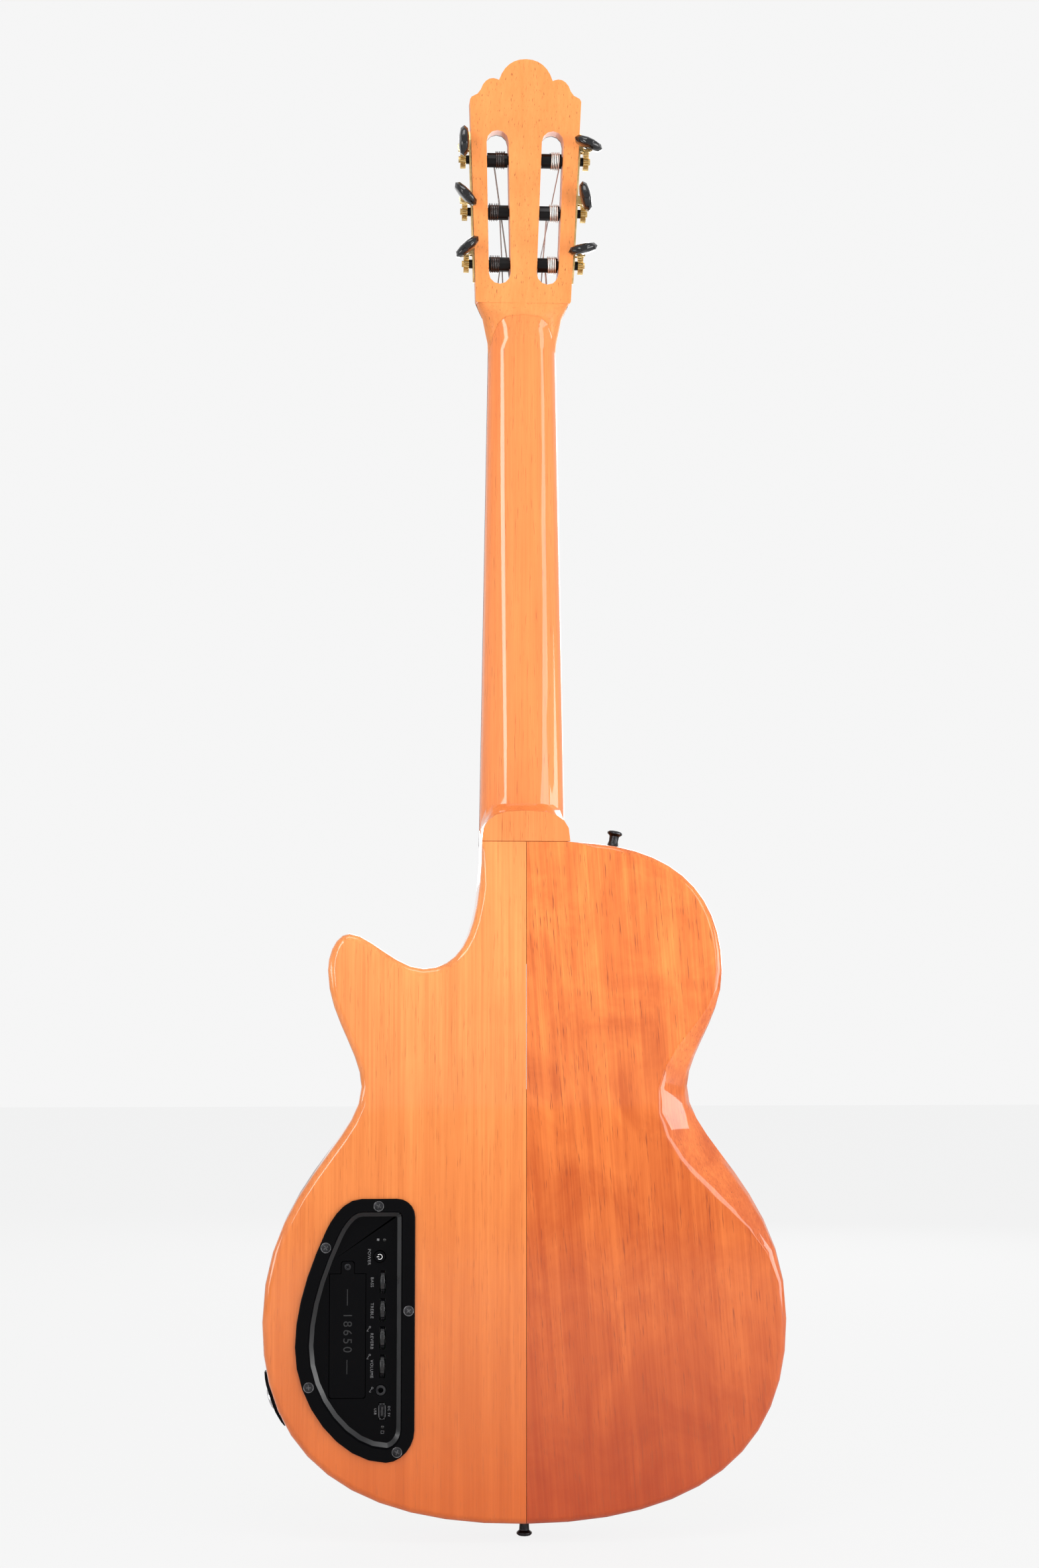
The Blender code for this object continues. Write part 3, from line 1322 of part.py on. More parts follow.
# Control panel and electronics
PANEL_SEAT_Y = BACK_Y - FIT
PANEL_OUT_Y = PANEL_SEAT_Y - PANEL_THICKNESS
TUB_FLOOR_Y = PANEL_OUT_Y + TUB_DEPTH
TUB_UNDER_Y = TUB_FLOOR_Y + TUB_FLOOR
WHEEL_Y = TUB_FLOOR_Y - WHEEL_PROUD + WHEEL_RADIUS
CIRCUIT_Y = WHEEL_Y + WHEEL_RADIUS + 2 * RUNNING


def panel_outline():
    """The panel's D shape, clockwise seen from the back, from its top edge."""
    right, left = PANEL_EDGE_X, PANEL_WIDEST_X
    top, bottom, wide = PANEL_TOP_Z, PANEL_BOTTOM_Z, PANEL_WIDEST_Z
    low_x = right - 0.0181
    corner = 0.0117
    ease = 0.0052
    points = bezier((right - corner, top), (right - ease, top), (right, top - ease), (right, top - corner), 5)
    points.append((right, top - 0.0117))
    points += bezier(
        (right, bottom + 0.0200), (right, bottom + 0.0100), (low_x + 0.0100, bottom), (low_x, bottom), 6
    )
    points += bezier(
        (low_x, bottom),
        (low_x + 0.5 * (left - low_x), bottom),
        (left, wide - 0.5 * (wide - bottom)),
        (left, wide),
        8,
    )
    shoulder = (left + 0.0191, top - 0.0204)
    below = (shoulder[0] - 0.0113, shoulder[1] - 0.0246)
    above = (shoulder[0] + 0.0042, shoulder[1] + 0.0091)
    points += bezier((left, wide), (left, wide + 0.0240), below, shoulder, 5)
    points += bezier(shoulder, above, (left + 0.0311, top), (left + 0.0421, top), 5)
    return points + [(left + 0.0421, top)]


def panel_inset(distance):
    """The panel's outline drawn in evenly."""
    outline = panel_outline()
    return inset(outline, [distance] * len(outline))


def door_outline(room):
    """The battery door with its tab, with room all round."""
    left, right = DOOR_LEFT - room, DOOR_RIGHT + room
    low, high, tip = DOOR_BOTTOM - room, DOOR_TOP + room, DOOR_TOP + DOOR_TAB_LENGTH + room
    middle = (left + right) / 2
    tab = DOOR_TAB_WIDTH / 2 + room
    corner = 0.0012
    points = [(right, high), (right, low + corner), (right - corner, low)]
    points += [(left + corner, low), (left, low + corner), (left, high)]
    points += [(middle - tab, high), (middle - tab, tip - corner), (middle - tab + corner, tip)]
    return points + [(middle + tab - corner, tip), (middle + tab, tip - corner), (middle + tab, high)]


def wheel_heights():
    """The thumbwheels' places, from the top down."""
    return [WHEEL_TOP_Z - rank * WHEEL_PITCH for rank in range(WHEEL_COUNT)]


def make_panel():
    """The panel: a rim on the back, a sunk tub with its openings, and posts for the circuit board."""
    sections = ((PANEL_SEAT + 0.0012, TUB_UNDER_Y), (PANEL_SEAT + 0.0006, PANEL_SEAT_Y), (0, PANEL_SEAT_Y))
    sections += ((0, PANEL_OUT_Y + 0.0006), (0.0006, PANEL_OUT_Y), (PANEL_RIM, PANEL_OUT_Y))
    sections += ((PANEL_RIM + 0.0014, TUB_FLOOR_Y),)
    rings = [[(x, y, z) for x, z in panel_inset(distance)] for distance, y in sections]
    panel = add_part("control_panel", loft_mesh("control_panel", rings), BLACK_SATIN)
    front, back = TUB_FLOOR_Y - 0.001, TUB_UNDER_Y + 0.001
    door = plate_mesh("door_hole", [door_outline(RUNNING)], back - front, body_plane((front + back) / 2))
    slots = []
    chord = math.sqrt(WHEEL_RADIUS**2 - (WHEEL_Y - TUB_UNDER_Y) ** 2) + RUNNING
    for z in wheel_heights():
        half = WHEEL_THICKNESS / 2 + RUNNING
        slots.append(((CONTROL_X - half, front, z - chord), (CONTROL_X + half, back, z + chord)))
    usb = USB_WIDTH / 2 + RUNNING, USB_LENGTH / 2 + RUNNING
    slots.append(((CONTROL_X - usb[0], front, USB_Z - usb[1]), (CONTROL_X + usb[0], back, USB_Z + usb[1])))
    holes = [((x, front, z), (x, back, z), LAMP_DIAMETER) for x, z in LAMPS]
    holes.append(((BUTTON_X, front, BUTTON_Z), (BUTTON_X, back, BUTTON_Z), POWER_DIAMETER + 2 * RUNNING))
    holes.append(((SOCKET_X, front, SOCKET_Z), (SOCKET_X, back, SOCKET_Z), SOCKET_DIAMETER + 2 * RUNNING))
    posts = []
    for x, z in post_places():
        posts.append(((x, TUB_UNDER_Y - 0.0005, z), (x, CIRCUIT_Y - FIT, z), 0.0040))
    join(panel, add_cutter("board_posts", rod_mesh("board_posts", *posts, sides=10)))
    cut(panel, add_cutter("door_hole", door))
    cut(panel, add_cutter("panel_slots", box_mesh("panel_slots", *slots)))
    cut(panel, add_cutter("panel_holes", rod_mesh("panel_holes", *holes, sides=14)))
    use_manifold(panel)


def post_places():
    """Where the panel's posts carry the circuit board."""
    return ((BUTTON_X + 0.0094, PANEL_TOP_Z - 0.0180), (CONTROL_X + 0.0080, PANEL_BOTTOM_Z + 0.0170))


def make_battery_bay():
    """The door, the open tray behind it and the round cell that it holds."""
    middle = (TUB_FLOOR_Y + TUB_FLOOR_Y + DOOR_THICKNESS) / 2
    mesh = plate_mesh("battery_door", [door_outline(0)], DOOR_THICKNESS, body_plane(middle))
    add_part("battery_door", mesh, BLACK_SATIN)
    seat = TUB_UNDER_Y + FIT
    cell_y = seat + 2 * FIT + CELL_DIAMETER / 2
    left, right = DOOR_LEFT - RUNNING, DOOR_RIGHT + RUNNING
    low, high = DOOR_BOTTOM - RUNNING, DOOR_TOP + DOOR_TAB_LENGTH + RUNNING
    floor = cell_y + CELL_DIAMETER / 2 + FIT
    wall = TRAY_WALL
    near = (left - wall, seat, low - wall)
    far = (right + wall, floor + wall, high + wall)
    shell = box_mesh("battery_tray", (near, far))
    tray = add_part("battery_tray", shell, BLACK_SATIN)
    hollow = box_mesh("tray_hollow", ((left, seat - 0.001, low), (right, floor, high)))
    cut(tray, add_cutter("tray_hollow", hollow))
    radius = CELL_DIAMETER / 2
    start = (DOOR_BOTTOM + high - CELL_LENGTH) / 2
    shoulder = CELL_LENGTH - 0.0012
    profile = [(0, CELL_LENGTH), (0.003, CELL_LENGTH), (0.003, shoulder), (radius - 0.0006, shoulder)]
    profile += [(radius, CELL_LENGTH - 0.0018), (radius, 0.0005), (radius - 0.0005, 0), (0, 0)]
    place = Matrix.Translation(((DOOR_LEFT + DOOR_RIGHT) / 2, cell_y, start))
    turned_part("battery_cell", profile, place, CELL_LABEL, 18)


def make_circuit_board():
    """The circuit board with its potentiometer cases and power switch."""
    left, right = DOOR_RIGHT + RUNNING + TRAY_WALL + FIT, PANEL_EDGE_X - PANEL_RIM - 0.0010
    low, high = PANEL_BOTTOM_Z + 0.0110, PANEL_TOP_Z - 0.0140
    plate = box_mesh("circuit_board", ((left, CIRCUIT_Y, low), (right, CIRCUIT_Y + BOARD_THICKNESS, high)))
    board = add_part("circuit_board", plate, GREEN_BOARD)
    near = CONTROL_X + WHEEL_THICKNESS / 2 + RUNNING
    cases, bores = [], []
    for z in wheel_heights():
        case = ((near, WHEEL_Y - 0.0030, z - 0.0052), (near + 0.0062, CIRCUIT_Y + 0.0002, z + 0.0052))
        cases.append(case)
        bores.append(((near - 0.001, WHEEL_Y, z), (near + 0.0035, WHEEL_Y, z), 0.0030 + 2 * RUNNING))
    half = 0.0032
    switch_top = power_stem_y() + POWER_TRAVEL + FIT
    cases.append(
        (
            (BUTTON_X - half, switch_top, BUTTON_Z - half),
            (BUTTON_X + half, CIRCUIT_Y + 0.0002, BUTTON_Z + half),
        )
    )
    join(board, add_cutter("cases", box_mesh("cases", *cases)))
    cut(board, add_cutter("case_bores", rod_mesh("case_bores", *bores, sides=10)))


def power_stem_y():
    """How deep the power button's stem reaches."""
    return TUB_UNDER_Y + 0.0046


def facing_out(x, y, z):
    """A frame whose third axis points out of the back."""
    return head_frame(Vector((x, y, z)), Vector((1, 0, 0)), Vector((0, 0, 1)), Vector((0, -1, 0)))


def make_controls():
    """The power button, thumbwheels and both sockets."""
    cap, flange = POWER_DIAMETER / 2, POWER_DIAMETER / 2 + 0.0009
    top = power_stem_y() - (TUB_FLOOR_Y - POWER_PROUD)
    under = power_stem_y() - TUB_UNDER_Y - RUNNING
    profile = [(0, top), (cap - 0.0005, top), (cap, top - 0.0005), (cap, under), (flange, under)]
    profile += [(flange, under - 0.0010), (0.0022, under - 0.0010), (0.0022, 0), (0, 0)]
    turned_part("power_button", profile, facing_out(BUTTON_X, power_stem_y(), BUTTON_Z), BLACK_GLOSS, 16)
    half = WHEEL_THICKNESS / 2
    rim = WHEEL_RADIUS
    for rank, z in enumerate(wheel_heights()):
        end = half + 0.0032
        profile = [(0, end), (0.0015, end), (0.0015, half), (rim - 0.0004, half), (rim, half - 0.0004)]
        profile += [(rim, -half + 0.0004), (rim - 0.0004, -half), (0, -half)]
        middle = Vector((CONTROL_X, WHEEL_Y, z))
        place = head_frame(middle, Vector((0, 1, 0)), Vector((0, 0, 1)), Vector((1, 0, 0)))
        turned_part(f"thumbwheel_{rank + 1}", profile, place, BLACK_GLOSS, 12)
    sleeve, bore = SOCKET_DIAMETER / 2, SOCKET_BORE / 2
    depth = CIRCUIT_Y - FIT - TUB_FLOOR_Y
    end = depth + 0.0005
    profile = [(0, 0.0020), (bore, 0.0020), (bore, end), (sleeve, end), (sleeve, 0), (0, 0)]
    turned_part("mini_jack", profile, facing_out(SOCKET_X, CIRCUIT_Y - FIT, SOCKET_Z), STEEL, 14)
    wide, long = USB_WIDTH / 2, USB_LENGTH / 2
    low = (CONTROL_X - wide, TUB_FLOOR_Y - 0.0002, USB_Z - long)
    shell = box_mesh("usb_socket", (low, (CONTROL_X + wide, CIRCUIT_Y - FIT, USB_Z + long)))
    usb = add_part("usb_socket", shell, STEEL)
    wall = 0.0005
    mouth = (CONTROL_X - wide + wall, TUB_FLOOR_Y - 0.001, USB_Z - long + wall)
    end = (CONTROL_X + wide - wall, TUB_FLOOR_Y + 0.0065, USB_Z + long - wall)
    cut(usb, add_cutter("usb_mouth", box_mesh("usb_mouth", (mouth, end))))


def build():
    """Makes every piece of the guitar."""
    make_boards()
    make_soundboard()
    make_braces()
    make_neck()
    make_truss_rod()
    make_heel_cap()
    make_headstock()
    make_fingerboard()
    make_nut()
    make_bridge()
    make_tuner_plates(bpy.data.objects["roller_bores"])
    make_knobs()
    make_rollers()
    make_strings()
    make_strap_pins()
    make_output_jack()
    make_panel()
    make_battery_bay()
    make_circuit_board()
    make_controls()


build()
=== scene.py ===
"""Looks of a thin-bodied nylon-string crossover guitar, seen from behind in soft studio light.

Metres, +Z up the neck. The back faces -Y, the soundboard +Y, and the cutaway side is -X.
"""

import json
import logging
import math
from dataclasses import dataclass
from enum import Enum
from functools import cache
from typing import Callable, Optional, Sequence, Union

import bpy
from mathutils import Matrix, Vector


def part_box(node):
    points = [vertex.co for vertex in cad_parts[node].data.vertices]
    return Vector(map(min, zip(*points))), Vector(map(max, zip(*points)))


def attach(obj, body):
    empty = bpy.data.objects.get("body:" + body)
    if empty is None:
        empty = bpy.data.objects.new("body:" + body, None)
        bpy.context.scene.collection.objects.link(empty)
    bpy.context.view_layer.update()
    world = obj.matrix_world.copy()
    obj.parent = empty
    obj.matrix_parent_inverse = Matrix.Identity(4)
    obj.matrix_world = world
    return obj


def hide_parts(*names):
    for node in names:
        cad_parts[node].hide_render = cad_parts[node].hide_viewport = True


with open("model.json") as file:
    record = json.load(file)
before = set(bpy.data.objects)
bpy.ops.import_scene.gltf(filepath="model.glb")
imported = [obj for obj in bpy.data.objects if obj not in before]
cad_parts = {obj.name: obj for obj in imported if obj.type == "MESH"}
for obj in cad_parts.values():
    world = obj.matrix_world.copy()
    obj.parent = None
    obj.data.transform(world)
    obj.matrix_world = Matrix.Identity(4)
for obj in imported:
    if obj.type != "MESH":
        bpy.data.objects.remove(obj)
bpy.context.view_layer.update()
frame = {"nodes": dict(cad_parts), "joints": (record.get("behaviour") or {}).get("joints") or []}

LOG = logging.getLogger("guitar")
PHOTO_WIDTH = 1568
PHOTO_HEIGHT = 2367
TREBLE_STRINGS = ("g", "b", "high_e")
BASS_STRINGS = ("d", "a", "low_e")
SKIN = 0.00012
PORE_DEPTH = 0.00012
EDGE_ANGLE = 40.0
WOOD_ANGLE = 38.0
MOULD_ANGLE = 35.0
TUBE_ANGLE = 60.0
FLAT_ANGLE = 0.4
MERGE_GAP = 0.000002
POINT_RADIUS = 0.00001
NORMAL_WEIGHT = 80
QUARTER_TURN = math.radians(90)

Colour = tuple[float, float, float]
Triple = tuple[float, float, float]
Pair = tuple[float, float]
Piece = bpy.types.Object


class Value:
    """A number in a material's node tree, which sums and products add Math nodes to."""

    def __init__(self, recipe: "Recipe", socket: bpy.types.NodeSocket) -> None:
        """Keeps the tree and the socket that gives the number."""
        self.recipe = recipe
        self.socket = socket

    def _math(self, operation: str, first: object, second: object) -> "Value":
        """The result of a Math node on two inputs, each a Value or a number."""
        made = self.recipe.node("ShaderNodeMath", {"operation": operation}, {0: first, 1: second})
        return Value(self.recipe, made.outputs[0])

    def __add__(self, other: object) -> "Value":
        """self + other."""
        return self._math("ADD", self, other)

    __radd__ = __add__

    def __sub__(self, other: object) -> "Value":
        """self - other."""
        return self._math("SUBTRACT", self, other)

    def __rsub__(self, other: object) -> "Value":
        """other - self."""
        return self._math("SUBTRACT", other, self)

    def __mul__(self, other: object) -> "Value":
        """self * other."""
        return self._math("MULTIPLY", self, other)

    __rmul__ = __mul__


class Recipe:
    """One procedural material round a Principled shader."""

    def __init__(self, name: str) -> None:
        """Makes the material, with its shader and its Object coordinates."""
        self.material = bpy.data.materials.new(name)
        self.material.use_nodes = True
        self.tree = self.material.node_tree
        self.shader = self.tree.nodes["Principled BSDF"]
        self.place = self.tree.nodes.new("ShaderNodeTexCoord").outputs["Object"]

    def node(self, kind: str, settings: Optional[dict] = None,
             sockets: Optional[dict] = None) -> bpy.types.Node:
        """Adds any node.

        Args:
            kind: the node's type name.
            settings: its properties, set first.
            sockets: values or links of its inputs, by name or number.

        Returns:
            The new node.
        """
        made = self.tree.nodes.new(kind)
        for key, value in (settings or {}).items():
            setattr(made, key, value)
        for key, value in (sockets or {}).items():
            self.feed(made.inputs[key], value)
        return made

    def feed(self, entry: bpy.types.NodeSocket, value: object) -> None:
        """Links or sets an input.

        Args:
            entry: the input.
            value: a Value or a socket to link, or a plain value to set.
        """
        if isinstance(value, Value):
            value = value.socket
        if isinstance(value, bpy.types.NodeSocket):
            self.tree.links.new(value, entry)
        elif isinstance(value, tuple) and entry.type == "RGBA":
            entry.default_value = (*value, 1.0)
        else:
            entry.default_value = value

    def mapped(self, scale: Sequence[float], tilt: float = 0.0,
               shift: Sequence[float] = (0, 0, 0)) -> bpy.types.NodeSocket:
        """Object coordinates, scaled along each axis, and turned in the plane of the back.

        Args:
            scale: how many units of pattern a metre holds, along each axis.
            tilt: turn about Y, in radians.
            shift: where the pattern's origin goes.

        Returns:
            The mapped vector.
        """
        turn = {"Vector": self.place, "Rotation": (0, tilt, 0), "Location": shift}
        place = self.node("ShaderNodeMapping", None, turn).outputs[0]
        return self.node("ShaderNodeMapping", None, {"Vector": place, "Scale": tuple(scale)}).outputs[0]

    def noise(self, place: object, detail: float = 3.0, rough: float = 0.55, warp: float = 0.0) -> Value:
        """Cloudy noise from 0 to 1 at a mapped place, with its detail, roughness and distortion."""
        sockets = {"Vector": place, "Scale": 1.0, "Detail": detail, "Roughness": rough, "Distortion": warp}
        return Value(self, self.node("ShaderNodeTexNoise", None, sockets).outputs[0])

    def span(self, value: object, low: float, high: float, to_low: float = 0.0,
             to_high: float = 1.0) -> Value:
        """Maps a number from one range to another and keeps it inside."""
        sockets = {"Value": value, "From Min": low, "From Max": high, "To Min": to_low, "To Max": to_high}
        return Value(self, self.node("ShaderNodeMapRange", {"clamp": True}, sockets).outputs[0])

    def along(self, axis: str) -> Value:
        """One Object coordinate, X, Y or Z, in metres."""
        return Value(self, self.node("ShaderNodeSeparateXYZ", None, {0: self.place}).outputs[axis])

    def blend(self, factor: object, first: object, second: object,
              how: str = "MIX") -> bpy.types.NodeSocket:
        """Mixes two colours.

        Args:
            factor: 0 for the first colour, 1 for the second.
            first: a colour or a colour socket.
            second: a colour or a colour socket.
            how: the mix node's blend type.

        Returns:
            The mixed colour's socket.
        """
        made = self.node("ShaderNodeMix", {"data_type": "RGBA", "blend_type": how})
        self.feed(made.inputs[0], factor)
        self.feed(made.inputs[6], first)
        self.feed(made.inputs[7], second)
        return made.outputs[2]

    def bump(self, height: object, depth: float, strength: float = 1.0) -> None:
        """Feeds the shader's normal from a height of 0 to 1 that stands for a depth in metres."""
        sockets = {"Height": height, "Distance": depth, "Strength": strength}
        self.feed(self.shader.inputs["Normal"], self.node("ShaderNodeBump", None, sockets).outputs[0])

    def done(self, **sockets: object) -> bpy.types.Material:
        """Sets the shader's sockets, named with underscores for spaces, and gives the material."""
        for key, value in sockets.items():
            self.feed(self.shader.inputs[key.replace("_", " ").title().replace("Ior", "IOR")], value)
        return self.material


class Sheen(Enum):
    """How a wood surface is finished: its coat's weight and roughness, and the wood's own roughness."""

    GLOSS = (0.95, 0.035, 0.38)
    SATIN = (0.30, 0.32, 0.50)
    BARE = (0.08, 0.40, 0.55)


@dataclass(frozen=True)
class Wood:
    """Straight-grained wood under lacquer.

    light and dark are the fibres' colours, pore the colour of the open pores.
    tilt leans the grain, mottle sets the cloudy figure, flecks the amount of dark pore marks.
    Below high_z a painted shade turns the wood towards tail_shade_colour, down to low_z, where
    tail_shade_share of it is that colour.
    The last three fields say how many units of pattern a metre holds, across the grain and along it.
    """

    name: str
    light: Colour
    dark: Colour
    pore: Colour
    sheen: Sheen = Sheen.GLOSS
    tilt: float = 0.0
    mottle: float = 0.5
    flecks: float = 0.5
    fibre: float = 700.0
    tail_shade_colour: Optional[Colour] = None
    low_z: float = 0.02
    high_z: float = 0.36
    tail_shade_share: float = 0.88
    streak_scale: Triple = (95, 95, 3.2)
    cloud_scale: Triple = (26, 26, 17)
    pore_scale: Triple = (1500, 1500, 62)

    def make(self) -> bpy.types.Material:
        """Builds the wood with its fibres, pores, figure and clear coat."""
        r = Recipe(self.name)
        fibres = r.noise(r.mapped((self.fibre, self.fibre, 9.0), self.tilt), 4.0, 0.62, 0.15)
        streaks = r.noise(r.mapped(self.streak_scale, self.tilt, (0.3, 0.1, 0.7)), 3.0, 0.5, 0.35)
        clouds = r.noise(r.mapped(self.cloud_scale, self.tilt * 2, (0.9, 0.4, 0.2)), 4.0, 0.6, 0.8)
        shade = r.span(fibres, 0.30, 0.72) * 0.42 + r.span(streaks, 0.32, 0.68) * 0.34
        shade = shade + r.span(clouds, 0.30, 0.70) * (0.24 * self.mottle * 2)
        colour = r.blend(shade, self.light, self.dark)
        if self.tail_shade_colour is not None:
            # Painted shade: the wood darkens towards the tail, as if less light reached the lower body.
            painted_tail_shade = r.span(r.along("Z"), self.low_z, self.high_z, self.tail_shade_share, 0.0)
            colour = r.blend(painted_tail_shade, colour, self.tail_shade_colour)
            colour = r.blend(0.55, colour, r.blend(shade, (1.0, 1.0, 1.0), (0.62, 0.52, 0.46)), "MULTIPLY")
        pores = r.noise(r.mapped(self.pore_scale, self.tilt, (0.2, 0.8, 0.5)), 2.0, 0.5)
        marks = r.span(pores, 0.63, 0.72) * self.flecks
        colour = r.blend(marks, colour, self.pore)
        coat, coat_rough, rough = self.sheen.value
        if self.sheen is not Sheen.GLOSS:
            r.bump(1.0 - pores, PORE_DEPTH, 0.35)
        return r.done(base_color=colour, roughness=r.span(fibres, 0.3, 0.7, rough, rough + 0.1),
                      coat_weight=coat, coat_roughness=coat_rough, coat_ior=1.45, specular_ior_level=0.12)


@dataclass(frozen=True)
class Spruce:
    """Quarter-sawn spruce with narrow rings, under clear lacquer."""

    name: str
    light: Colour
    ring: Colour

    def make(self) -> bpy.types.Material:
        """Builds the material with its growth rings and silk."""
        r = Recipe(self.name)
        sway = r.noise(r.mapped((9, 9, 2)), 2.0)
        lines = r.noise(r.mapped((760, 20, 1.1)), 2.0, 0.6, 0.08)
        silk = r.noise(r.mapped((60, 40, 150)))
        rings = r.span(lines, 0.42, 0.66) * 0.62 + r.span(sway, 0.3, 0.7) * 0.25
        colour = r.blend(rings + r.span(silk, 0.4, 0.7) * 0.1, self.light, self.ring)
        return r.done(base_color=colour, roughness=r.span(lines, 0.3, 0.7, 0.38, 0.48),
                      coat_weight=0.9, coat_roughness=0.04, coat_ior=1.5)


@dataclass(frozen=True)
class Metal:
    """Worn metal: tarnish in clouds and fine rubbing marks, or wound ridges, counted in turns a metre."""

    name: str
    bright: Colour
    dull: Colour
    rough: float = 0.28
    marks: float = 0.0
    ridges: float = 0.0

    def make(self) -> bpy.types.Material:
        """Builds the metal."""
        r = Recipe(self.name)
        clouds = r.noise(r.mapped((240, 240, 240)), 4.0, 0.6)
        colour = r.blend(r.span(clouds, 0.35, 0.68), self.bright, self.dull)
        if self.ridges:
            wave = r.node("ShaderNodeMath", {"operation": "SINE"}, {0: r.along("Z") * self.ridges})
            r.bump(Value(r, wave.outputs[0]) * 0.5 + 0.5, 0.00006, 0.8)
        else:
            rub = r.noise(r.mapped((3000, 3000, 500)), 2.0)
            r.bump(rub, 0.00002 + 0.00004 * self.marks, 0.4)
        rough = r.span(clouds, 0.3, 0.7, self.rough, self.rough + 0.16)
        return r.done(base_color=colour, metallic=1.0, roughness=rough)


@dataclass(frozen=True)
class Plastic:
    """Moulded or turned plastic: faint scuffs, dust, and a grain whose depth texture gives in metres."""

    name: str
    colour: Colour
    rough: float
    texture: float = 0.0
    coat: float = 0.0
    clear: float = 0.0
    dust: Colour = (0.11, 0.11, 0.11)
    shine: float = 0.5

    def make(self) -> bpy.types.Material:
        """Builds the plastic."""
        r = Recipe(self.name)
        grain = r.noise(r.mapped((2600, 2600, 2600)), 2.0)
        scuff = r.noise(r.mapped((55, 55, 80)), 5.0, 0.7, 0.4)
        worn = r.span(scuff, 0.60, 0.80) * 0.16
        colour = r.blend(worn, self.colour, self.dust)
        r.bump(grain, max(self.texture, 0.000004), 0.5)
        return r.done(base_color=colour, roughness=r.span(scuff, 0.3, 0.75, self.rough, self.rough + 0.12),
                      coat_weight=self.coat, coat_roughness=0.05, transmission_weight=self.clear,
                      specular_ior_level=self.shine)


INK = (0.0018, 0.0018, 0.0022)
# The back boards are one wood: the golden board's lighter colour is partly a painted sheen, light thrown back
# by its grain, which the red board lacks; their grain, figure and flecks differ for real.
GOLDEN_SHEEN = Wood("golden_wood", (0.90, 0.335, 0.095), (0.70, 0.205, 0.045), (0.34, 0.075, 0.016), flecks=0.45,
              mottle=0.35, tail_shade_colour=(0.50, 0.085, 0.006))
REDDISH = Wood("red_wood", (0.97, 0.300, 0.065), (0.66, 0.140, 0.022), (0.26, 0.045, 0.010), tilt=0.07,
               flecks=0.85, mottle=1.1, tail_shade_colour=(0.36, 0.034, 0.001))
NECK_WOOD = Wood("neck_wood", (0.84, 0.255, 0.066), (0.62, 0.158, 0.034), (0.36, 0.085, 0.022), flecks=0.6,
                 mottle=0.4)
HEEL_WOOD = Wood("heel_wood", (0.82, 0.275, 0.085), (0.60, 0.165, 0.042), (0.30, 0.060, 0.016), Sheen.SATIN,
                 flecks=0.8)
HEAD_WOOD = Wood("satin_wood", (0.84, 0.295, 0.088), (0.66, 0.205, 0.052), (0.30, 0.085, 0.028), Sheen.SATIN,
                 flecks=0.85, mottle=0.3, fibre=620.0)
ROSEWOOD = Wood("dark_wood", (0.075, 0.036, 0.022), (0.022, 0.011, 0.008), (0.006, 0.004, 0.003), Sheen.BARE,
                flecks=0.7, mottle=0.6)
TOP_WOOD = Spruce("spruce", (0.80, 0.56, 0.27), (0.58, 0.33, 0.12))
BRASS = Metal("brass", (0.78, 0.58, 0.27), (0.50, 0.33, 0.13), 0.24, 0.6)
STEEL = Metal("steel", (0.62, 0.62, 0.63), (0.42, 0.42, 0.43), 0.28, 0.5)
FRET_METAL = Metal("fret_metal", (0.74, 0.73, 0.70), (0.52, 0.51, 0.48), 0.18, 0.3)
WOUND = Metal("wound", (0.82, 0.82, 0.83), (0.60, 0.60, 0.61), 0.25, 0.2, 9000.0)
SILVER_TURNS = Metal("silver_turns", (0.95, 0.94, 0.91), (0.84, 0.82, 0.78), 0.36, 0.3)
BLACK_METAL = Metal("black_metal", (0.045, 0.045, 0.048), (0.016, 0.016, 0.018), 0.26, 0.2)
BUTTON = Plastic("black_gloss", (0.003, 0.003, 0.004), 0.1, coat=0.35, dust=(0.008, 0.008, 0.008), shine=0.3)
PANEL = Plastic("black_satin", INK, 0.30, 0.00002, dust=(0.003, 0.003, 0.003), shine=0.035)
TUB = Plastic("tub_satin", INK, 0.36, 0.00003, dust=(0.003, 0.003, 0.003), shine=0.035)
ROLLER = Plastic("roller_black", (0.004, 0.0035, 0.0035), 0.26, dust=(0.01, 0.01, 0.01), shine=0.15)
BONE = Plastic("bone", (0.80, 0.76, 0.64), 0.34, 0.00001, 0.1, dust=(0.60, 0.53, 0.38))
NYLON = Plastic("nylon", (0.30, 0.27, 0.25), 0.16, coat=0.4, clear=0.35, dust=(0.45, 0.42, 0.40))
DARK_NYLON = Plastic("nylon_turns", (0.020, 0.012, 0.010), 0.16, coat=0.4, dust=(0.09, 0.06, 0.05))
PRINT = Plastic("panel_print", (0.11, 0.11, 0.115), 0.5, dust=(0.08, 0.08, 0.08))
SIGN = Plastic("power_print", (0.62, 0.62, 0.62), 0.5, dust=(0.5, 0.5, 0.5))
# Painted highlight: a lighter copy of the tub's black plastic, for the raised 18650 mark and its bars.
RELIEF_HIGHLIGHT = Plastic("raised_mark_highlight", (0.013, 0.013, 0.014), 0.30, dust=(0.02, 0.02, 0.02), shine=0.3)
# Painted highlight: a lighter, shinier copy of the tub's black plastic, for the sloped foot of its wall.
SLOPE_HIGHLIGHT = Plastic("tub_slope_highlight", (0.006, 0.006, 0.007), 0.26, dust=(0.01, 0.01, 0.01), shine=0.32)
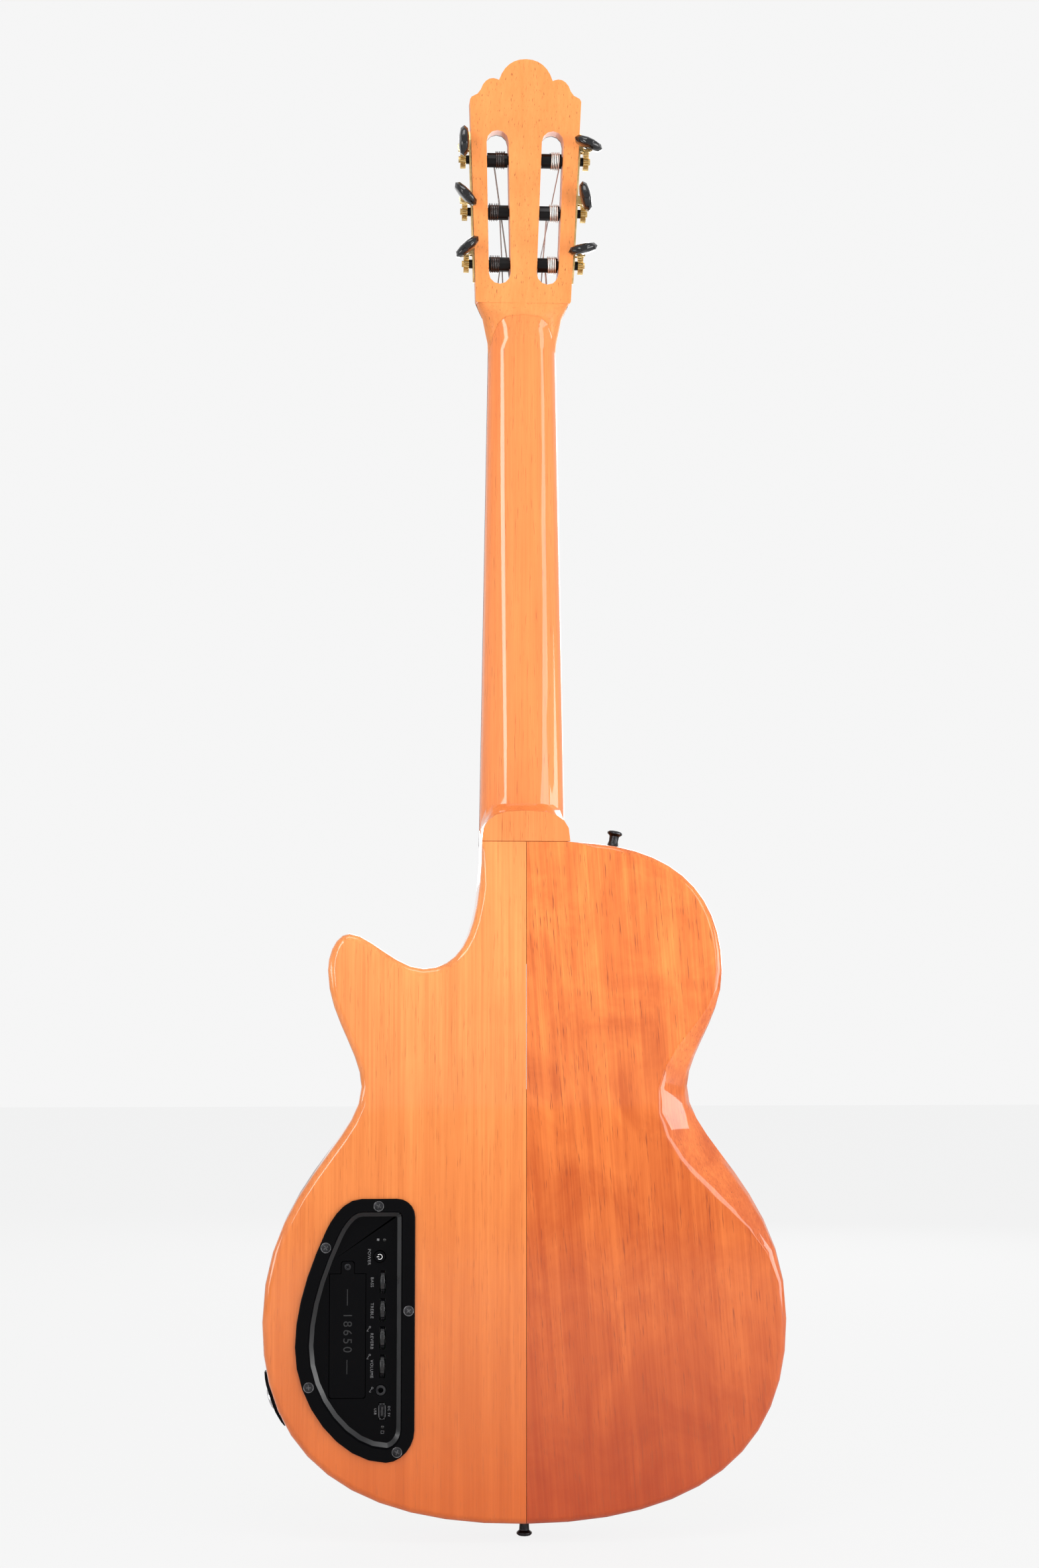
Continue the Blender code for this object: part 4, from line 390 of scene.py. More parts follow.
# Painted countersink shadow: the dull metal of the thin rings laid round the panel screws.
COUNTERSINK_SHADOW = Metal("countersink_shadow_metal", (0.13, 0.13, 0.135), (0.05, 0.05, 0.052), 0.22, 0.2)
BORE = Plastic("lamp_bore", (0.004, 0.004, 0.004), 0.10, coat=0.3, shine=0.2)
GREEN_BOARD = Plastic("circuit", (0.02, 0.13, 0.05), 0.35, 0.00002, 0.3)
CELL = Plastic("cell", (0.30, 0.32, 0.36), 0.28, coat=0.4)
INLAY_LIGHT = Plastic("inlay_light", (0.72, 0.58, 0.34), 0.35, coat=0.6, dust=(0.5, 0.36, 0.2))
INLAY_DARK = Plastic("inlay_dark", (0.045, 0.025, 0.015), 0.35, coat=0.6)
Finish = Union[Wood, Spruce, Metal, Plastic]


@cache
def material(finish: Finish) -> bpy.types.Material:
    """The material of a finish, made the first time that it is asked for."""
    return finish.make()


def deselect() -> None:
    """Leaves object mode with nothing selected."""
    if bpy.context.mode != "OBJECT":
        bpy.ops.object.mode_set(mode="OBJECT")
    bpy.ops.object.select_all(action="DESELECT")


def choose(piece: Piece) -> None:
    """Selects one piece alone and makes it active."""
    deselect()
    piece.select_set(True)
    bpy.context.view_layer.objects.active = piece


def added(name: str) -> Piece:
    """The piece that was added last, with a name."""
    piece = bpy.context.active_object
    piece.name = name
    return piece


def edit(piece: Piece) -> None:
    """Opens a piece's mesh for editing, with all of it selected."""
    choose(piece)
    bpy.ops.object.mode_set(mode="EDIT")
    bpy.ops.mesh.select_all(action="SELECT")


def settle(piece: Piece) -> Piece:
    """Puts a piece's place into its mesh, so that its object sits at the origin."""
    choose(piece)
    bpy.ops.object.transform_apply(location=True, rotation=True, scale=True)
    return piece


def apply_modifiers(piece: Piece) -> None:
    """Applies all of a piece's modifiers in order."""
    choose(piece)
    for step in list(piece.modifiers):
        bpy.ops.object.modifier_apply(modifier=step.name)


def round_off(piece: Piece, degrees: float = EDGE_ANGLE, bevel: float = 0.0) -> None:
    """Bevels a piece's sharp edges and shades its round ones smooth.

    Args:
        piece: the object.
        degrees: edges sharper than this stay edges.
        bevel: the bevel's width in metres, or 0 for none.
    """
    if bevel:
        step = piece.modifiers.new("Edges", "BEVEL")
        step.width = bevel
        step.segments = 2
        step.limit_method = "ANGLE"
        step.angle_limit = math.radians(degrees)
        apply_modifiers(piece)
    choose(piece)
    bpy.ops.object.shade_smooth_by_angle(angle=math.radians(degrees))
    weigh = piece.modifiers.new("Weighted", "WEIGHTED_NORMAL")
    weigh.keep_sharp = True
    weigh.weight = NORMAL_WEIGHT
    apply_modifiers(piece)


def fine_copy(node: str, name: str, degrees: float, bevel: float = 0.0) -> Piece:
    """A smooth, finished copy of a CAD node's form.

    Args:
        node: the CAD node.
        name: the new piece's name.
        degrees: edges sharper than this stay edges.
        bevel: how far its edges are rounded, in metres.

    Returns:
        The new piece, which is where the node is.
    """
    piece = bpy.data.objects.new(name, frame["nodes"][node].data.copy())
    bpy.context.scene.collection.objects.link(piece)
    choose(piece)
    if piece.data.has_custom_normals:
        bpy.ops.mesh.customdata_custom_splitnormals_clear()
    edit(piece)
    bpy.ops.mesh.remove_doubles(threshold=MERGE_GAP)
    bpy.ops.mesh.dissolve_limited(angle_limit=math.radians(FLAT_ANGLE))
    bpy.ops.object.mode_set(mode="OBJECT")
    round_off(piece, degrees, bevel)
    return piece


def wear(piece: Piece, *finishes: Finish) -> None:
    """Gives a piece its materials."""
    piece.data.materials.clear()
    for finish in finishes:
        piece.data.materials.append(material(finish))


def paint(piece: Piece, chooser: Callable[[Vector], int]) -> None:
    """Gives each face the material that chooser names by number for the face's centre."""
    for face in piece.data.polygons:
        face.material_index = chooser(face.center)


def mount(piece: Piece, body: str = "guitar", nodes: Sequence[str] = ()) -> None:
    """Fixes a finished piece to its body, and reports it.

    Args:
        piece: the piece.
        body: the CAD body that it moves with.
        nodes: the CAD nodes that it stands for.
    """
    deselect()
    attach(piece, body)
    if nodes:
        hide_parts(*nodes)
    LOG.info("%s rides on %s with %d faces", piece.name, body, len(piece.data.polygons))


def dress(node: str, name: str, slot: str, finish: Finish, edge: float = 0.0, degrees: float = WOOD_ANGLE,
          body: str = "guitar") -> None:
    """Puts a fine copy of a CAD node in its place.

    Args:
        node: the CAD node.
        name: the new piece's name.
        slot: not used.
        finish: the piece's material.
        edge: how far its edges are rounded, in metres.
        degrees: edges sharper than this stay edges.
        body: the CAD body that it moves with.
    """
    piece = fine_copy(node, name, degrees, edge)
    wear(piece, finish)
    mount(piece, body, (node,))


def merge(name: str, pieces: Sequence[Piece]) -> Piece:
    """Joins new pieces into one object.

    Args:
        name: its name.
        pieces: what it is made of.

    Returns:
        The joined piece.
    """
    deselect()
    for piece in pieces:
        piece.select_set(True)
    bpy.context.view_layer.objects.active = pieces[0]
    if len(pieces) > 1:
        bpy.ops.object.join()
    pieces[0].name = name
    return pieces[0]


def turned(name: str, profile: Sequence[Pair], place: Matrix, sides: int) -> Piece:
    """A lathe-turned piece from half of its outline.

    Args:
        name: the piece's name.
        profile: pairs of radius and height, from the bottom's middle to the top's middle.
        place: where the piece's base and axis go.
        sides: how many steps the turn takes.

    Returns:
        The piece, closed, with its faces pointing outwards.
    """
    deselect()
    start = max(profile[0][0], POINT_RADIUS)
    bpy.ops.mesh.primitive_circle_add(vertices=sides, radius=start, fill_type="NGON")
    piece = added(name)
    edit(piece)
    bpy.ops.transform.translate(value=(0, 0, profile[0][1]))
    for (radius, height), (wider, higher) in zip(profile, profile[1:]):
        bpy.ops.mesh.extrude_region_move(TRANSFORM_OT_translate={"value": (0, 0, higher - height)})
        ratio = max(wider, POINT_RADIUS) / max(radius, POINT_RADIUS)
        bpy.ops.transform.resize(value=(ratio, ratio, 1), center_override=(0, 0, higher))
    bpy.ops.mesh.select_all(action="SELECT")
    bpy.ops.mesh.normals_make_consistent(inside=False)
    bpy.ops.object.mode_set(mode="OBJECT")
    piece.matrix_world = place
    settle(piece)
    return piece


def facing_back(x: float, y: float, z: float, turn: float = 0.0) -> Matrix:
    """A place whose Z axis points out of the back, turned clockwise as seen from behind."""
    upright = Matrix.Translation((x, y, z)) @ Matrix.Rotation(QUARTER_TURN, 4, "X")
    return upright @ Matrix.Rotation(-turn, 4, "Z")


def block(name: str, low: Sequence[float], high: Sequence[float], bevel: float = 0.0) -> Piece:
    """A block with its edges rounded off.

    Args:
        name: the block's name.
        low: the corner with the lowest coordinates.
        high: the corner with the highest ones.
        bevel: how far its edges are rounded, in metres.

    Returns:
        The block.
    """
    deselect()
    middle = [(a + b) / 2 for a, b in zip(low, high)]
    bpy.ops.mesh.primitive_cube_add(size=1, location=middle)
    piece = added(name)
    piece.scale = [abs(b - a) for a, b in zip(low, high)]
    settle(piece)
    round_off(piece, bevel=bevel)
    return piece


def cut(piece: Piece, tool: Piece) -> None:
    """Cuts a tool's shape out of a piece and removes the tool."""
    step = piece.modifiers.new("Cut", "BOOLEAN")
    step.object = tool
    step.operation = "DIFFERENCE"
    apply_modifiers(piece)
    bpy.data.objects.remove(tool, do_unlink=True)


@dataclass
class BodyShell:
    """The two carved back boards, and the soundboard with its braces and rosette."""

    brace_edge: float = 0.0008
    rosette_inner: float = 0.0455
    rosette_outer: float = 0.0575
    soundhole_z: float = 0.316069
    front_y: float = 0.025
    line_starts: tuple[float, ...] = (0.0, 0.16, 0.78, 0.94)
    line_share: float = 0.06
    tile_count: int = 72
    tile_half_width: float = 0.0011
    tile_height: float = 0.00022
    tile_share: float = 0.21
    short_tile: float = 0.62
    tile_slant: float = math.radians(28)

    def boards(self) -> None:
        """Dresses the cutaway-side board, golden partly from a painted sheen, the redder bass-side board, and
        the top with its braces.
        """
        dress("body_board_treble", "back_board_treble", "golden_wood", GOLDEN_SHEEN)
        dress("body_board_bass", "back_board_bass", "red_wood", REDDISH)
        dress("soundboard", "spruce_top", "spruce", TOP_WOOD)
        for node in ("brace_upper", "brace_lower"):
            dress(node, f"{node}_bar", "spruce", TOP_WOOD, self.brace_edge, EDGE_ANGLE)

    def ring(self, name: str, inner: float, outer: float, finish: Finish, height: float) -> Piece:
        """A flat inlaid ring round the soundhole.

        Args:
            name: the ring's name.
            inner: its inner radius.
            outer: its outer radius.
            finish: its material.
            height: how far it stands out of the top.

        Returns:
            The ring, as a piece.
        """
        deselect()
        bpy.ops.mesh.primitive_circle_add(vertices=96, radius=inner, fill_type="NOTHING")
        piece = added(name)
        edit(piece)
        bpy.ops.mesh.extrude_region_move()
        bpy.ops.transform.resize(value=(outer / inner, outer / inner, 1))
        bpy.ops.object.mode_set(mode="OBJECT")
        thick = piece.modifiers.new("Thick", "SOLIDIFY")
        thick.thickness = 2 * height
        thick.offset = 0
        apply_modifiers(piece)
        hole = Matrix.Translation((0, self.front_y, self.soundhole_z))
        piece.matrix_world = hole @ Matrix.Rotation(-QUARTER_TURN, 4, "X")
        settle(piece)
        round_off(piece)
        wear(piece, finish)
        return piece

    def rosette(self) -> None:
        """Lays a plain rosette of rings and small slanted tiles round the soundhole."""
        width = self.rosette_outer - self.rosette_inner
        ground = self.ring("rosette_ground", self.rosette_inner, self.rosette_outer, INLAY_DARK, SKIN)
        mount(ground)
        for number, share in enumerate(self.line_starts, 1):
            low = self.rosette_inner + share * width
            high = low + self.line_share * width
            mount(self.ring(f"rosette_line_{number}", low, high, INLAY_LIGHT, 1.5 * SKIN))
        tiles = []
        middle = self.rosette_inner + 0.5 * width
        for number in range(self.tile_count):
            turn = 2 * math.pi * number / self.tile_count
            long = self.tile_share * width * (1.0 if number % 2 else self.short_tile)
            corner = Vector((self.tile_half_width, long, self.tile_height))
            tile = block("tile", -corner, corner)
            tile.matrix_world = (
                Matrix.Translation((0, self.front_y, self.soundhole_z))
                @ Matrix.Rotation(turn, 4, "Y")
                @ Matrix.Translation((0, 0, middle))
                @ Matrix.Rotation(QUARTER_TURN, 4, "X")
                @ Matrix.Rotation(self.tile_slant, 4, "Z")
            )
            tiles.append(settle(tile))
        piece = merge("rosette_tiles", tiles)
        wear(piece, INLAY_LIGHT)
        mount(piece)

    def build(self) -> None:
        """Builds the whole body."""
        self.boards()
        self.rosette()


@dataclass
class NeckAndHead:
    """The neck, its heel cap, the slotted headstock with its veneer, and the fingerboard."""

    joint_z: float = 0.4372
    scale_length: float = 0.650
    joint_fret: int = 14
    fret_count: int = 19
    nut_width: float = 0.046
    joint_width: float = 0.058
    board_front_y: float = 0.0313
    fret_height: float = 0.0010
    fret_width: float = 0.0022
    fret_depth: float = 0.0006
    fret_inset: float = 0.0003
    dot_frets: tuple[int, ...] = (5, 7, 9)
    dot_radius: float = 0.0011
    dot_below_front: float = 0.003

    def fret_z(self, number: int) -> float:
        """Height of a fret's middle above the tail."""
        nut_z = self.joint_z + self.scale_length * (1 - 2 ** (-self.joint_fret / 12))
        return nut_z - self.scale_length * (1 - 2 ** (-number / 12))

    def half_width(self, z: float) -> float:
        """Half of the fingerboard's width at a height."""
        share = (self.fret_z(0) - z) / (self.fret_z(0) - self.joint_z)
        return (self.nut_width + share * (self.joint_width - self.nut_width)) / 2

    def wood(self) -> None:
        """Dresses the wooden parts behind the strings."""
        for row in (
            ("neck", "neck_shaft", "neck_wood", NECK_WOOD, 0.0),
            ("heel_cap", "heel_plate", "satin_wood", HEEL_WOOD, 0.0003),
            ("headstock", "slotted_head", "satin_wood", HEAD_WOOD, 0.0005),
            ("headstock_veneer", "head_veneer", "dark_wood", ROSEWOOD, 0.0002),
            ("fingerboard", "fingerboard_slab", "dark_wood", ROSEWOOD, 0.0),
            ("nut", "bone_nut", "bone", BONE, 0.0003),
            ("truss_rod", "truss_bar", "steel", STEEL, 0.0002),
        ):
            dress(*row)

    def frets(self) -> None:
        """Presses a crowned wire over each fret, just short of the board's edges."""
        wires = []
        for number in range(1, self.fret_count + 1):
            z = self.fret_z(number)
            reach = self.half_width(z) - self.fret_inset
            top = self.board_front_y + self.fret_height
            low = (-reach, top - self.fret_depth, z - self.fret_width / 2)
            high = (reach, top + SKIN, z + self.fret_width / 2)
            wires.append(block("wire", low, high, self.fret_depth))
        piece = merge("fret_wires", wires)
        wear(piece, FRET_METAL)
        mount(piece)

    def side_dots(self) -> None:
        """Sets pale position dots in the bass edge of the fingerboard."""
        dots = []
        for fret in self.dot_frets:
            z = (self.fret_z(fret) + self.fret_z(fret - 1)) / 2
            side = Vector((self.half_width(z) - 0.0002, self.board_front_y - self.dot_below_front, z))
            place = Matrix.Translation(side) @ Matrix.Rotation(QUARTER_TURN, 4, "Y")
            radius = self.dot_radius
            profile = ((0, 0), (radius, 0), (radius, 0.0003), (0.7 * radius, 0.00038), (0, 0.0004))
            dots.append(turned("dot", profile, place, 20))
        piece = merge("side_dots", dots)
        wear(piece, BONE)
        mount(piece)

    def build(self) -> None:
        """Builds the neck and head."""
        self.wood()
        self.frets()
        self.side_dots()


@dataclass
class Tuners:
    """The brass side plates, six knobs on their worms, six rollers and their windings."""

    plate_edge: float = 0.00015
    button_reach: float = 0.0105
    wheel_reach: float = 0.0075

    def knob(self, string: str) -> None:
        """Dresses one knob: a black button on a brass worm shaft."""
        node = f"knob_{string}"
        joint = next(j for j in frame["joints"] if j["name"] == f"{node}_turn")
        origin, axis = Vector(joint["pos_m"]), Vector(joint["axis"])
        piece = fine_copy(node, f"{node}_turner", 42.0)
        wear(piece, BUTTON, BRASS)
        paint(piece, lambda at: 0 if (at - origin).dot(axis) > self.button_reach else 1)
        mount(piece, node, (node,))

    def roller(self, string: str) -> None:
        """Dresses one roller with its gear wheel, and its winding."""
        node = f"roller_{string}"
        low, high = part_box(node)
        inner = min(abs(low.x), abs(high.x))
        outer = max(abs(low.x), abs(high.x))
        piece = fine_copy(node, f"{node}_barrel", 30.0)
        wear(piece, ROLLER, BRASS)
        paint(piece, lambda at: 1 if abs(at.x) > outer - self.wheel_reach or abs(at.x) < inner else 0)
        mount(piece, node, (node,))
        finish, slot = (DARK_NYLON, "nylon") if string in TREBLE_STRINGS else (SILVER_TURNS, "wound")
        dress(f"winding_{string}", f"winding_{string}_turns", slot, finish, 0.0, TUBE_ANGLE, node)

    def build(self) -> None:
        """Builds the side plates and both rows of tuners."""
        for side in ("bass", "treble"):
            dress(f"tuner_plate_{side}", f"brass_plate_{side}", "brass", BRASS, self.plate_edge, MOULD_ANGLE)
        for string in (*TREBLE_STRINGS, *BASS_STRINGS):
            self.knob(string)
            self.roller(string)


@dataclass
class StringsAndBridge:
    """The six strings, the tie-block bridge, its saddle and the pickup under it."""

    def build(self) -> None:
        """Builds the strings and the bridge."""
        for string in (*TREBLE_STRINGS, *BASS_STRINGS):
            finish, slot = (NYLON, "nylon") if string in TREBLE_STRINGS else (WOUND, "wound")
            dress(f"string_{string}", f"string_{string}_line", slot, finish, degrees=TUBE_ANGLE)
        for row in (
            ("bridge", "tie_bridge", "dark_wood", ROSEWOOD, 0.0004),
            ("saddle", "bone_saddle", "bone", BONE, 0.0003),
            ("pickup_strip", "pickup_bar", "brass", BRASS, 0.0001),
        ):
            dress(*row)


@dataclass(frozen=True)
class Word:
    """A word that reads downwards: its text, its middle, its letters' height in metres, and their spacing."""

    text: str
    x: float
    z: float
    height: float = 0.0019
    spacing: float = 1.15


@dataclass
class ControlPanel:
    """The moulded control panel with its printing, controls, screws and battery bay.

    floor_y is the tub's floor and rim_y the face of the rim round it. Places are pairs of X and Z.
    A rib of a thumbwheel is given by half its length, half its width and its height.
    """

    floor_y: float = -0.0220
    rim_y: float = -0.0273
    mould_edge: float = 0.0002
    wall_slope: float = 0.0034
    print_height: float = 0.00004
    relief_height: float = 0.00022
    line_width: float = 0.00028
    power_line: float = 0.00045
    bar_width: float = 0.0006
    bar_ends: tuple[Pair, ...] = ((0.0953, 0.1043), (0.1385, 0.1488))
    text_scale: float = 1.42
    lamp_sign_width: float = 0.0017
    port_ends: Pair = (0.0690, 0.0746)
    port_half: float = 0.0021
    rib: Triple = (0.0012, 0.00022, 0.00032)
    rib_count: int = 30
    rib_foot: float = 0.0004
    screw_radius: float = 0.0029
    door_screw_radius: float = 0.0021
    screws: tuple[Pair, ...] = (
        (-0.0952, 0.2018),
        (-0.1289, 0.1756),
        (-0.1392, 0.0879),
        (-0.0828, 0.0470),
        (-0.0757, 0.1355),
    )
    door_screw: Pair = (-0.1149, 0.1629)
    lamps: tuple[Pair, ...] = ((-0.0914, 0.1799), (-0.0921, 0.0620))
    power: Pair = (-0.0944, 0.1694)
    wheel_x: float = -0.0924
    wheel_heights: tuple[float, ...] = (0.1532, 0.1355, 0.1178, 0.1001)
    socket: Pair = (-0.0933, 0.0851)
    words: tuple[Word, ...] = (
        Word("POWER", -0.1012, 0.1692),
        Word("BASS", -0.0992, 0.1532),
        Word("TREBLE", -0.0992, 0.1352),
        Word("REVERB", -0.0992, 0.1160),
        Word("VOLUME", -0.0992, 0.0985),
        Word("DC 5V", -0.0880, 0.0718, 0.0015),
        Word("USB", -0.0968, 0.0718, 0.0015),
    )

    def shells(self) -> None:
        """Dresses the moulded panel, the battery bay and the parts on the circuit board."""
        moulding = fine_copy("control_panel", "panel_moulding", MOULD_ANGLE)
        wear(moulding, PANEL)
        self.slope_wall(moulding)
        round_off(moulding, MOULD_ANGLE, self.mould_edge)
        mount(moulding, nodes=("control_panel",))
        for node, name, slot, finish, edge, *body in (
            ("battery_tray", "battery_box", "black_satin", TUB, 0.0001),
            ("battery_cell", "round_cell", "cell", CELL, 0.0),
            ("circuit_board", "circuit_plate", "circuit", GREEN_BOARD, 0.0),
            ("mini_jack", "small_socket", "steel", BLACK_METAL, 0.0001),
            ("usb_socket", "charging_socket", "steel", BLACK_METAL, 0.0001),
            ("battery_door", "battery_cover", "black_satin", TUB, self.mould_edge, "battery_door"),
            ("power_button", "power_cap", "black_gloss", PANEL, self.mould_edge, "power_button"),
        ):
            dress(node, name, slot, finish, edge, MOULD_ANGLE, *body)

    def slope_wall(self, piece: Piece) -> None:
        """Gives the tub's wall the sloped foot that catches the light, in a lighter, shinier copy of the
        plastic as a painted highlight.

        Args:
            piece: the panel moulding.
        """
        choose(piece)
        bpy.ops.object.mode_set(mode="EDIT")
        bpy.ops.mesh.select_all(action="DESELECT")
        bpy.ops.object.mode_set(mode="OBJECT")
        mesh = piece.data
        faces_of = {}
        for face in mesh.polygons:
            for key in face.edge_keys:
                faces_of.setdefault(key, []).append(face)
        for edge in mesh.edges:
            level = all(abs(mesh.vertices[index].co.y - self.floor_y) < 0.0002 for index in edge.vertices)
            walls = [face for face in faces_of[edge.key] if face.center.y < self.floor_y - 0.0006]
            edge.select = level and len(walls) == 1
        # The slope takes a lighter, shinier copy of the black plastic: painted highlight.
        mesh.materials.append(material(SLOPE_HIGHLIGHT))
        bpy.ops.object.mode_set(mode="EDIT")
        bpy.ops.mesh.bevel(offset=self.wall_slope, offset_type="WIDTH", segments=1, material=1,
                           clamp_overlap=False)
        bpy.ops.object.mode_set(mode="OBJECT")

    def wheels(self) -> None:
        """Dresses the thumbwheels and gives each a ribbed rim."""
        length, width, height = self.rib
        for number, z in enumerate(self.wheel_heights, 1):
            node = f"thumbwheel_{number}"
            low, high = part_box(node)
            axis = Matrix.Translation((self.wheel_x, (low.y + high.y) / 2, z))
            reach = Matrix.Translation((0, 0, (high.z - low.z) / 2 - self.rib_foot))
            dress(node, f"{node}_dial", "black_gloss", BUTTON, self.mould_edge, 25.0, node)
            ribs = []
            for step in range(self.rib_count):
                turn = 2 * math.pi * step / self.rib_count
                rib = block("rib", (-length, -width, 0), (length, width, height), 0.0001)
                rib.matrix_world = axis @ Matrix.Rotation(turn, 4, "X") @ reach
                ribs.append(settle(rib))
            knurl = merge(f"{node}_knurl", ribs)
            wear(knurl, BUTTON)
            mount(knurl, node)

    def lettering(self, word: Word, y: float, finish: Finish, name: str, body: str, depth: float) -> None:
        """Prints or embosses one word.

        Args:
            word: what it says, and where.
            y: the surface that it lies on.
            finish: its material.
            name: the piece's name.
            body: the body that it moves with.
            depth: how far it stands out.
        """
        deselect()
        bpy.ops.object.text_add()
        piece = bpy.context.active_object
        piece.data.body = word.text
        piece.data.size = word.height * self.text_scale
        piece.data.align_x = "CENTER"
        piece.data.align_y = "CENTER"
        piece.data.extrude = depth
        piece.data.resolution_u = 4
        piece.data.space_character = word.spacing
        choose(piece)
        bpy.ops.object.convert(target="MESH")
        piece.name = name
        piece.matrix_world = facing_back(word.x, y, word.z, QUARTER_TURN)
        settle(piece)
        wear(piece, finish)
        mount(piece, body)

    def stroke(self, points: Sequence[Pair], width: float, y: float) -> Piece:
        """A thin printed line.

        Args:
            points: the line's corners, each its X and Z.
            width: the line's width.
            y: the surface that it lies on.

        Returns:
            The line, as a piece.
        """
        curve = bpy.data.curves.new("stroke", "CURVE")
        curve.dimensions = "3D"
        curve.bevel_depth = width / 2
        curve.bevel_resolution = 1
        curve.use_fill_caps = True
        run = curve.splines.new("POLY")
        run.points.add(len(points) - 1)
        for point, (x, z) in zip(run.points, points):
            point.co = (x, 0, z, 1)
        piece = bpy.data.objects.new("stroke", curve)
        bpy.context.scene.collection.objects.link(piece)
        choose(piece)
        bpy.ops.object.convert(target="MESH")
        piece.scale = (1, 2 * self.print_height / width, 1)
        piece.location = (0, y, 0)
        return settle(piece)

    def arc(self, x: float, z: float, radius: float, start: float, end: float) -> list[Pair]:
        """Points along an arc, with its angles in degrees from +X towards +Z."""
        steps = max(4, round(abs(end - start) / 18))
        turns = [math.radians(start + (end - start) * step / steps) for step in range(steps + 1)]
        return [(x + radius * math.cos(turn), z + radius * math.sin(turn)) for turn in turns]

    def microphone(self, x: float, z: float) -> list[list[Pair]]:
        """The strokes of a small microphone sign that leans to the right."""
        head = self.arc(x + 0.0008, z + 0.0010, 0.00055, 0, 360)
        handle = [(x + 0.0003, z + 0.0005), (x - 0.0010, z - 0.0013)]
        return [head, handle, [(x - 0.0012, z - 0.0015), (x, z - 0.0015)]]

    def signs(self) -> None:
        """Prints the small signs: microphones, charging port, battery, lamp and power."""
        x, z = self.power
        lamp_x, lamp_z = self.lamps[0]
        cell_x, cell_z = self.lamps[1]
        jack_x, jack_z = self.socket
        printed = self.floor_y - self.print_height
        routes = []
        for place in ((-0.1012, 0.1238), (-0.1012, 0.1063), (jack_x - 0.0062, jack_z + 0.0004)):
            routes += self.microphone(*place)
        low, high = self.port_ends
        port_x, half = self.wheel_x, self.port_half
        port = self.arc(port_x, high, half, 0, 180) + self.arc(port_x, low, half, 180, 360)
        routes += [[*port, (port_x + half, high)], [(port_x, low), (port_x, high)]]
        left, right = cell_x - 0.0009, cell_x + 0.0009
        low, high = cell_z - 0.0040, cell_z - 0.0024
        routes.append([(left, low), (right, low), (right, high), (left, high), (left, low)])
        pieces = [self.stroke(route, self.line_width, printed) for route in routes]
        lamp = [(lamp_x - 0.0041, lamp_z - 0.0005), (lamp_x - 0.0041, lamp_z + 0.0009)]
        pieces.append(self.stroke(lamp, self.lamp_sign_width, printed))
        piece = merge("panel_signs", pieces)
        wear(piece, PRINT)
        mount(piece)
        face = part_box("power_button")[0].y - self.print_height
        ring = self.stroke(self.arc(x, z, 0.0016, 225, 495), self.power_line, face)
        bar = self.stroke([(x - 0.0019, z), (x - 0.0003, z)], self.power_line, face)
        sign = merge("power_sign", [ring, bar])
        wear(sign, SIGN)
        mount(sign, "power_button")

    def cross_screw(self, name: str, place: Matrix, radius: float) -> Piece:
        """A countersunk screw head with a cross recess.

        Args:
            name: the screw's name.
            place: its middle, in the surface that it is flush with, and the turn of its cross.
            radius: its head's radius.

        Returns:
            The screw.
        """
        profile = (
            (0, -0.0004), (radius * 0.9, -0.0004), (radius, 0.00002), (radius * 0.96, SKIN),
            (radius * 0.72, 0.00022), (0, 0.00026),
        )
        head = turned(name, profile, place, 36)
        long, wide = radius * 0.55, radius * 0.12
        for turn in (0, QUARTER_TURN):
            slot = block("slot", (-long, -wide, -0.00035), (long, wide, 0.001))
            slot.matrix_world = place @ Matrix.Rotation(turn, 4, "Z")
            cut(head, settle(slot))
        round_off(head, 30.0)
        wear(head, BLACK_METAL)
        return head

    def fasteners(self) -> None:
        """Screws the panel down at its rim, each screw on a dull metal ring of painted countersink shadow,
        and the battery cover at its tab.
        """
        radius = self.screw_radius
        profile = (
            (0, 0), (radius * 1.14, 0), (radius * 1.14, SKIN),
            (radius * 1.08, 0.00016), (radius * 1.02, 0.00004), (0, 0.00004),
        )
        for number, (x, z) in enumerate(self.screws, 1):
            # Painted countersink shadow: a thin dull metal ring laid round each panel screw.
            shadow_ring = turned(f"countersink_shadow_ring_{number}", profile, facing_back(x, self.rim_y, z), 40)
            round_off(shadow_ring, 30.0)
            wear(shadow_ring, COUNTERSINK_SHADOW)
            mount(shadow_ring)
            place = facing_back(x, self.rim_y, z, number * 0.5)
            mount(self.cross_screw(f"panel_screw_{number}", place, radius))
        x, z = self.door_screw
        place = facing_back(x, self.floor_y, z, 0.6)
        mount(self.cross_screw("door_screw", place, self.door_screw_radius), "battery_door")

    def lenses(self) -> None:
        """Fills each lamp's hole with a small dark lens."""
        profile = ((0, -0.0006), (0.00095, -0.0006), (0.00095, 0.00006), (0.0007, 0.00022), (0, 0.0003))
        for number, (x, z) in enumerate(self.lamps, 1):
            lens = turned(f"lamp_lens_{number}", profile, facing_back(x, self.floor_y, z), 24)
            round_off(lens, 50.0)
            wear(lens, BORE)
            mount(lens)

    def build(self) -> None:
        """Builds the panel."""
        self.shells()
        self.wheels()
        self.fasteners()
        self.lenses()
        self.signs()
        printed = self.floor_y - self.print_height
        for number, word in enumerate(self.words, 1):
            self.lettering(word, printed, PRINT, f"panel_word_{number}", "guitar", self.print_height)
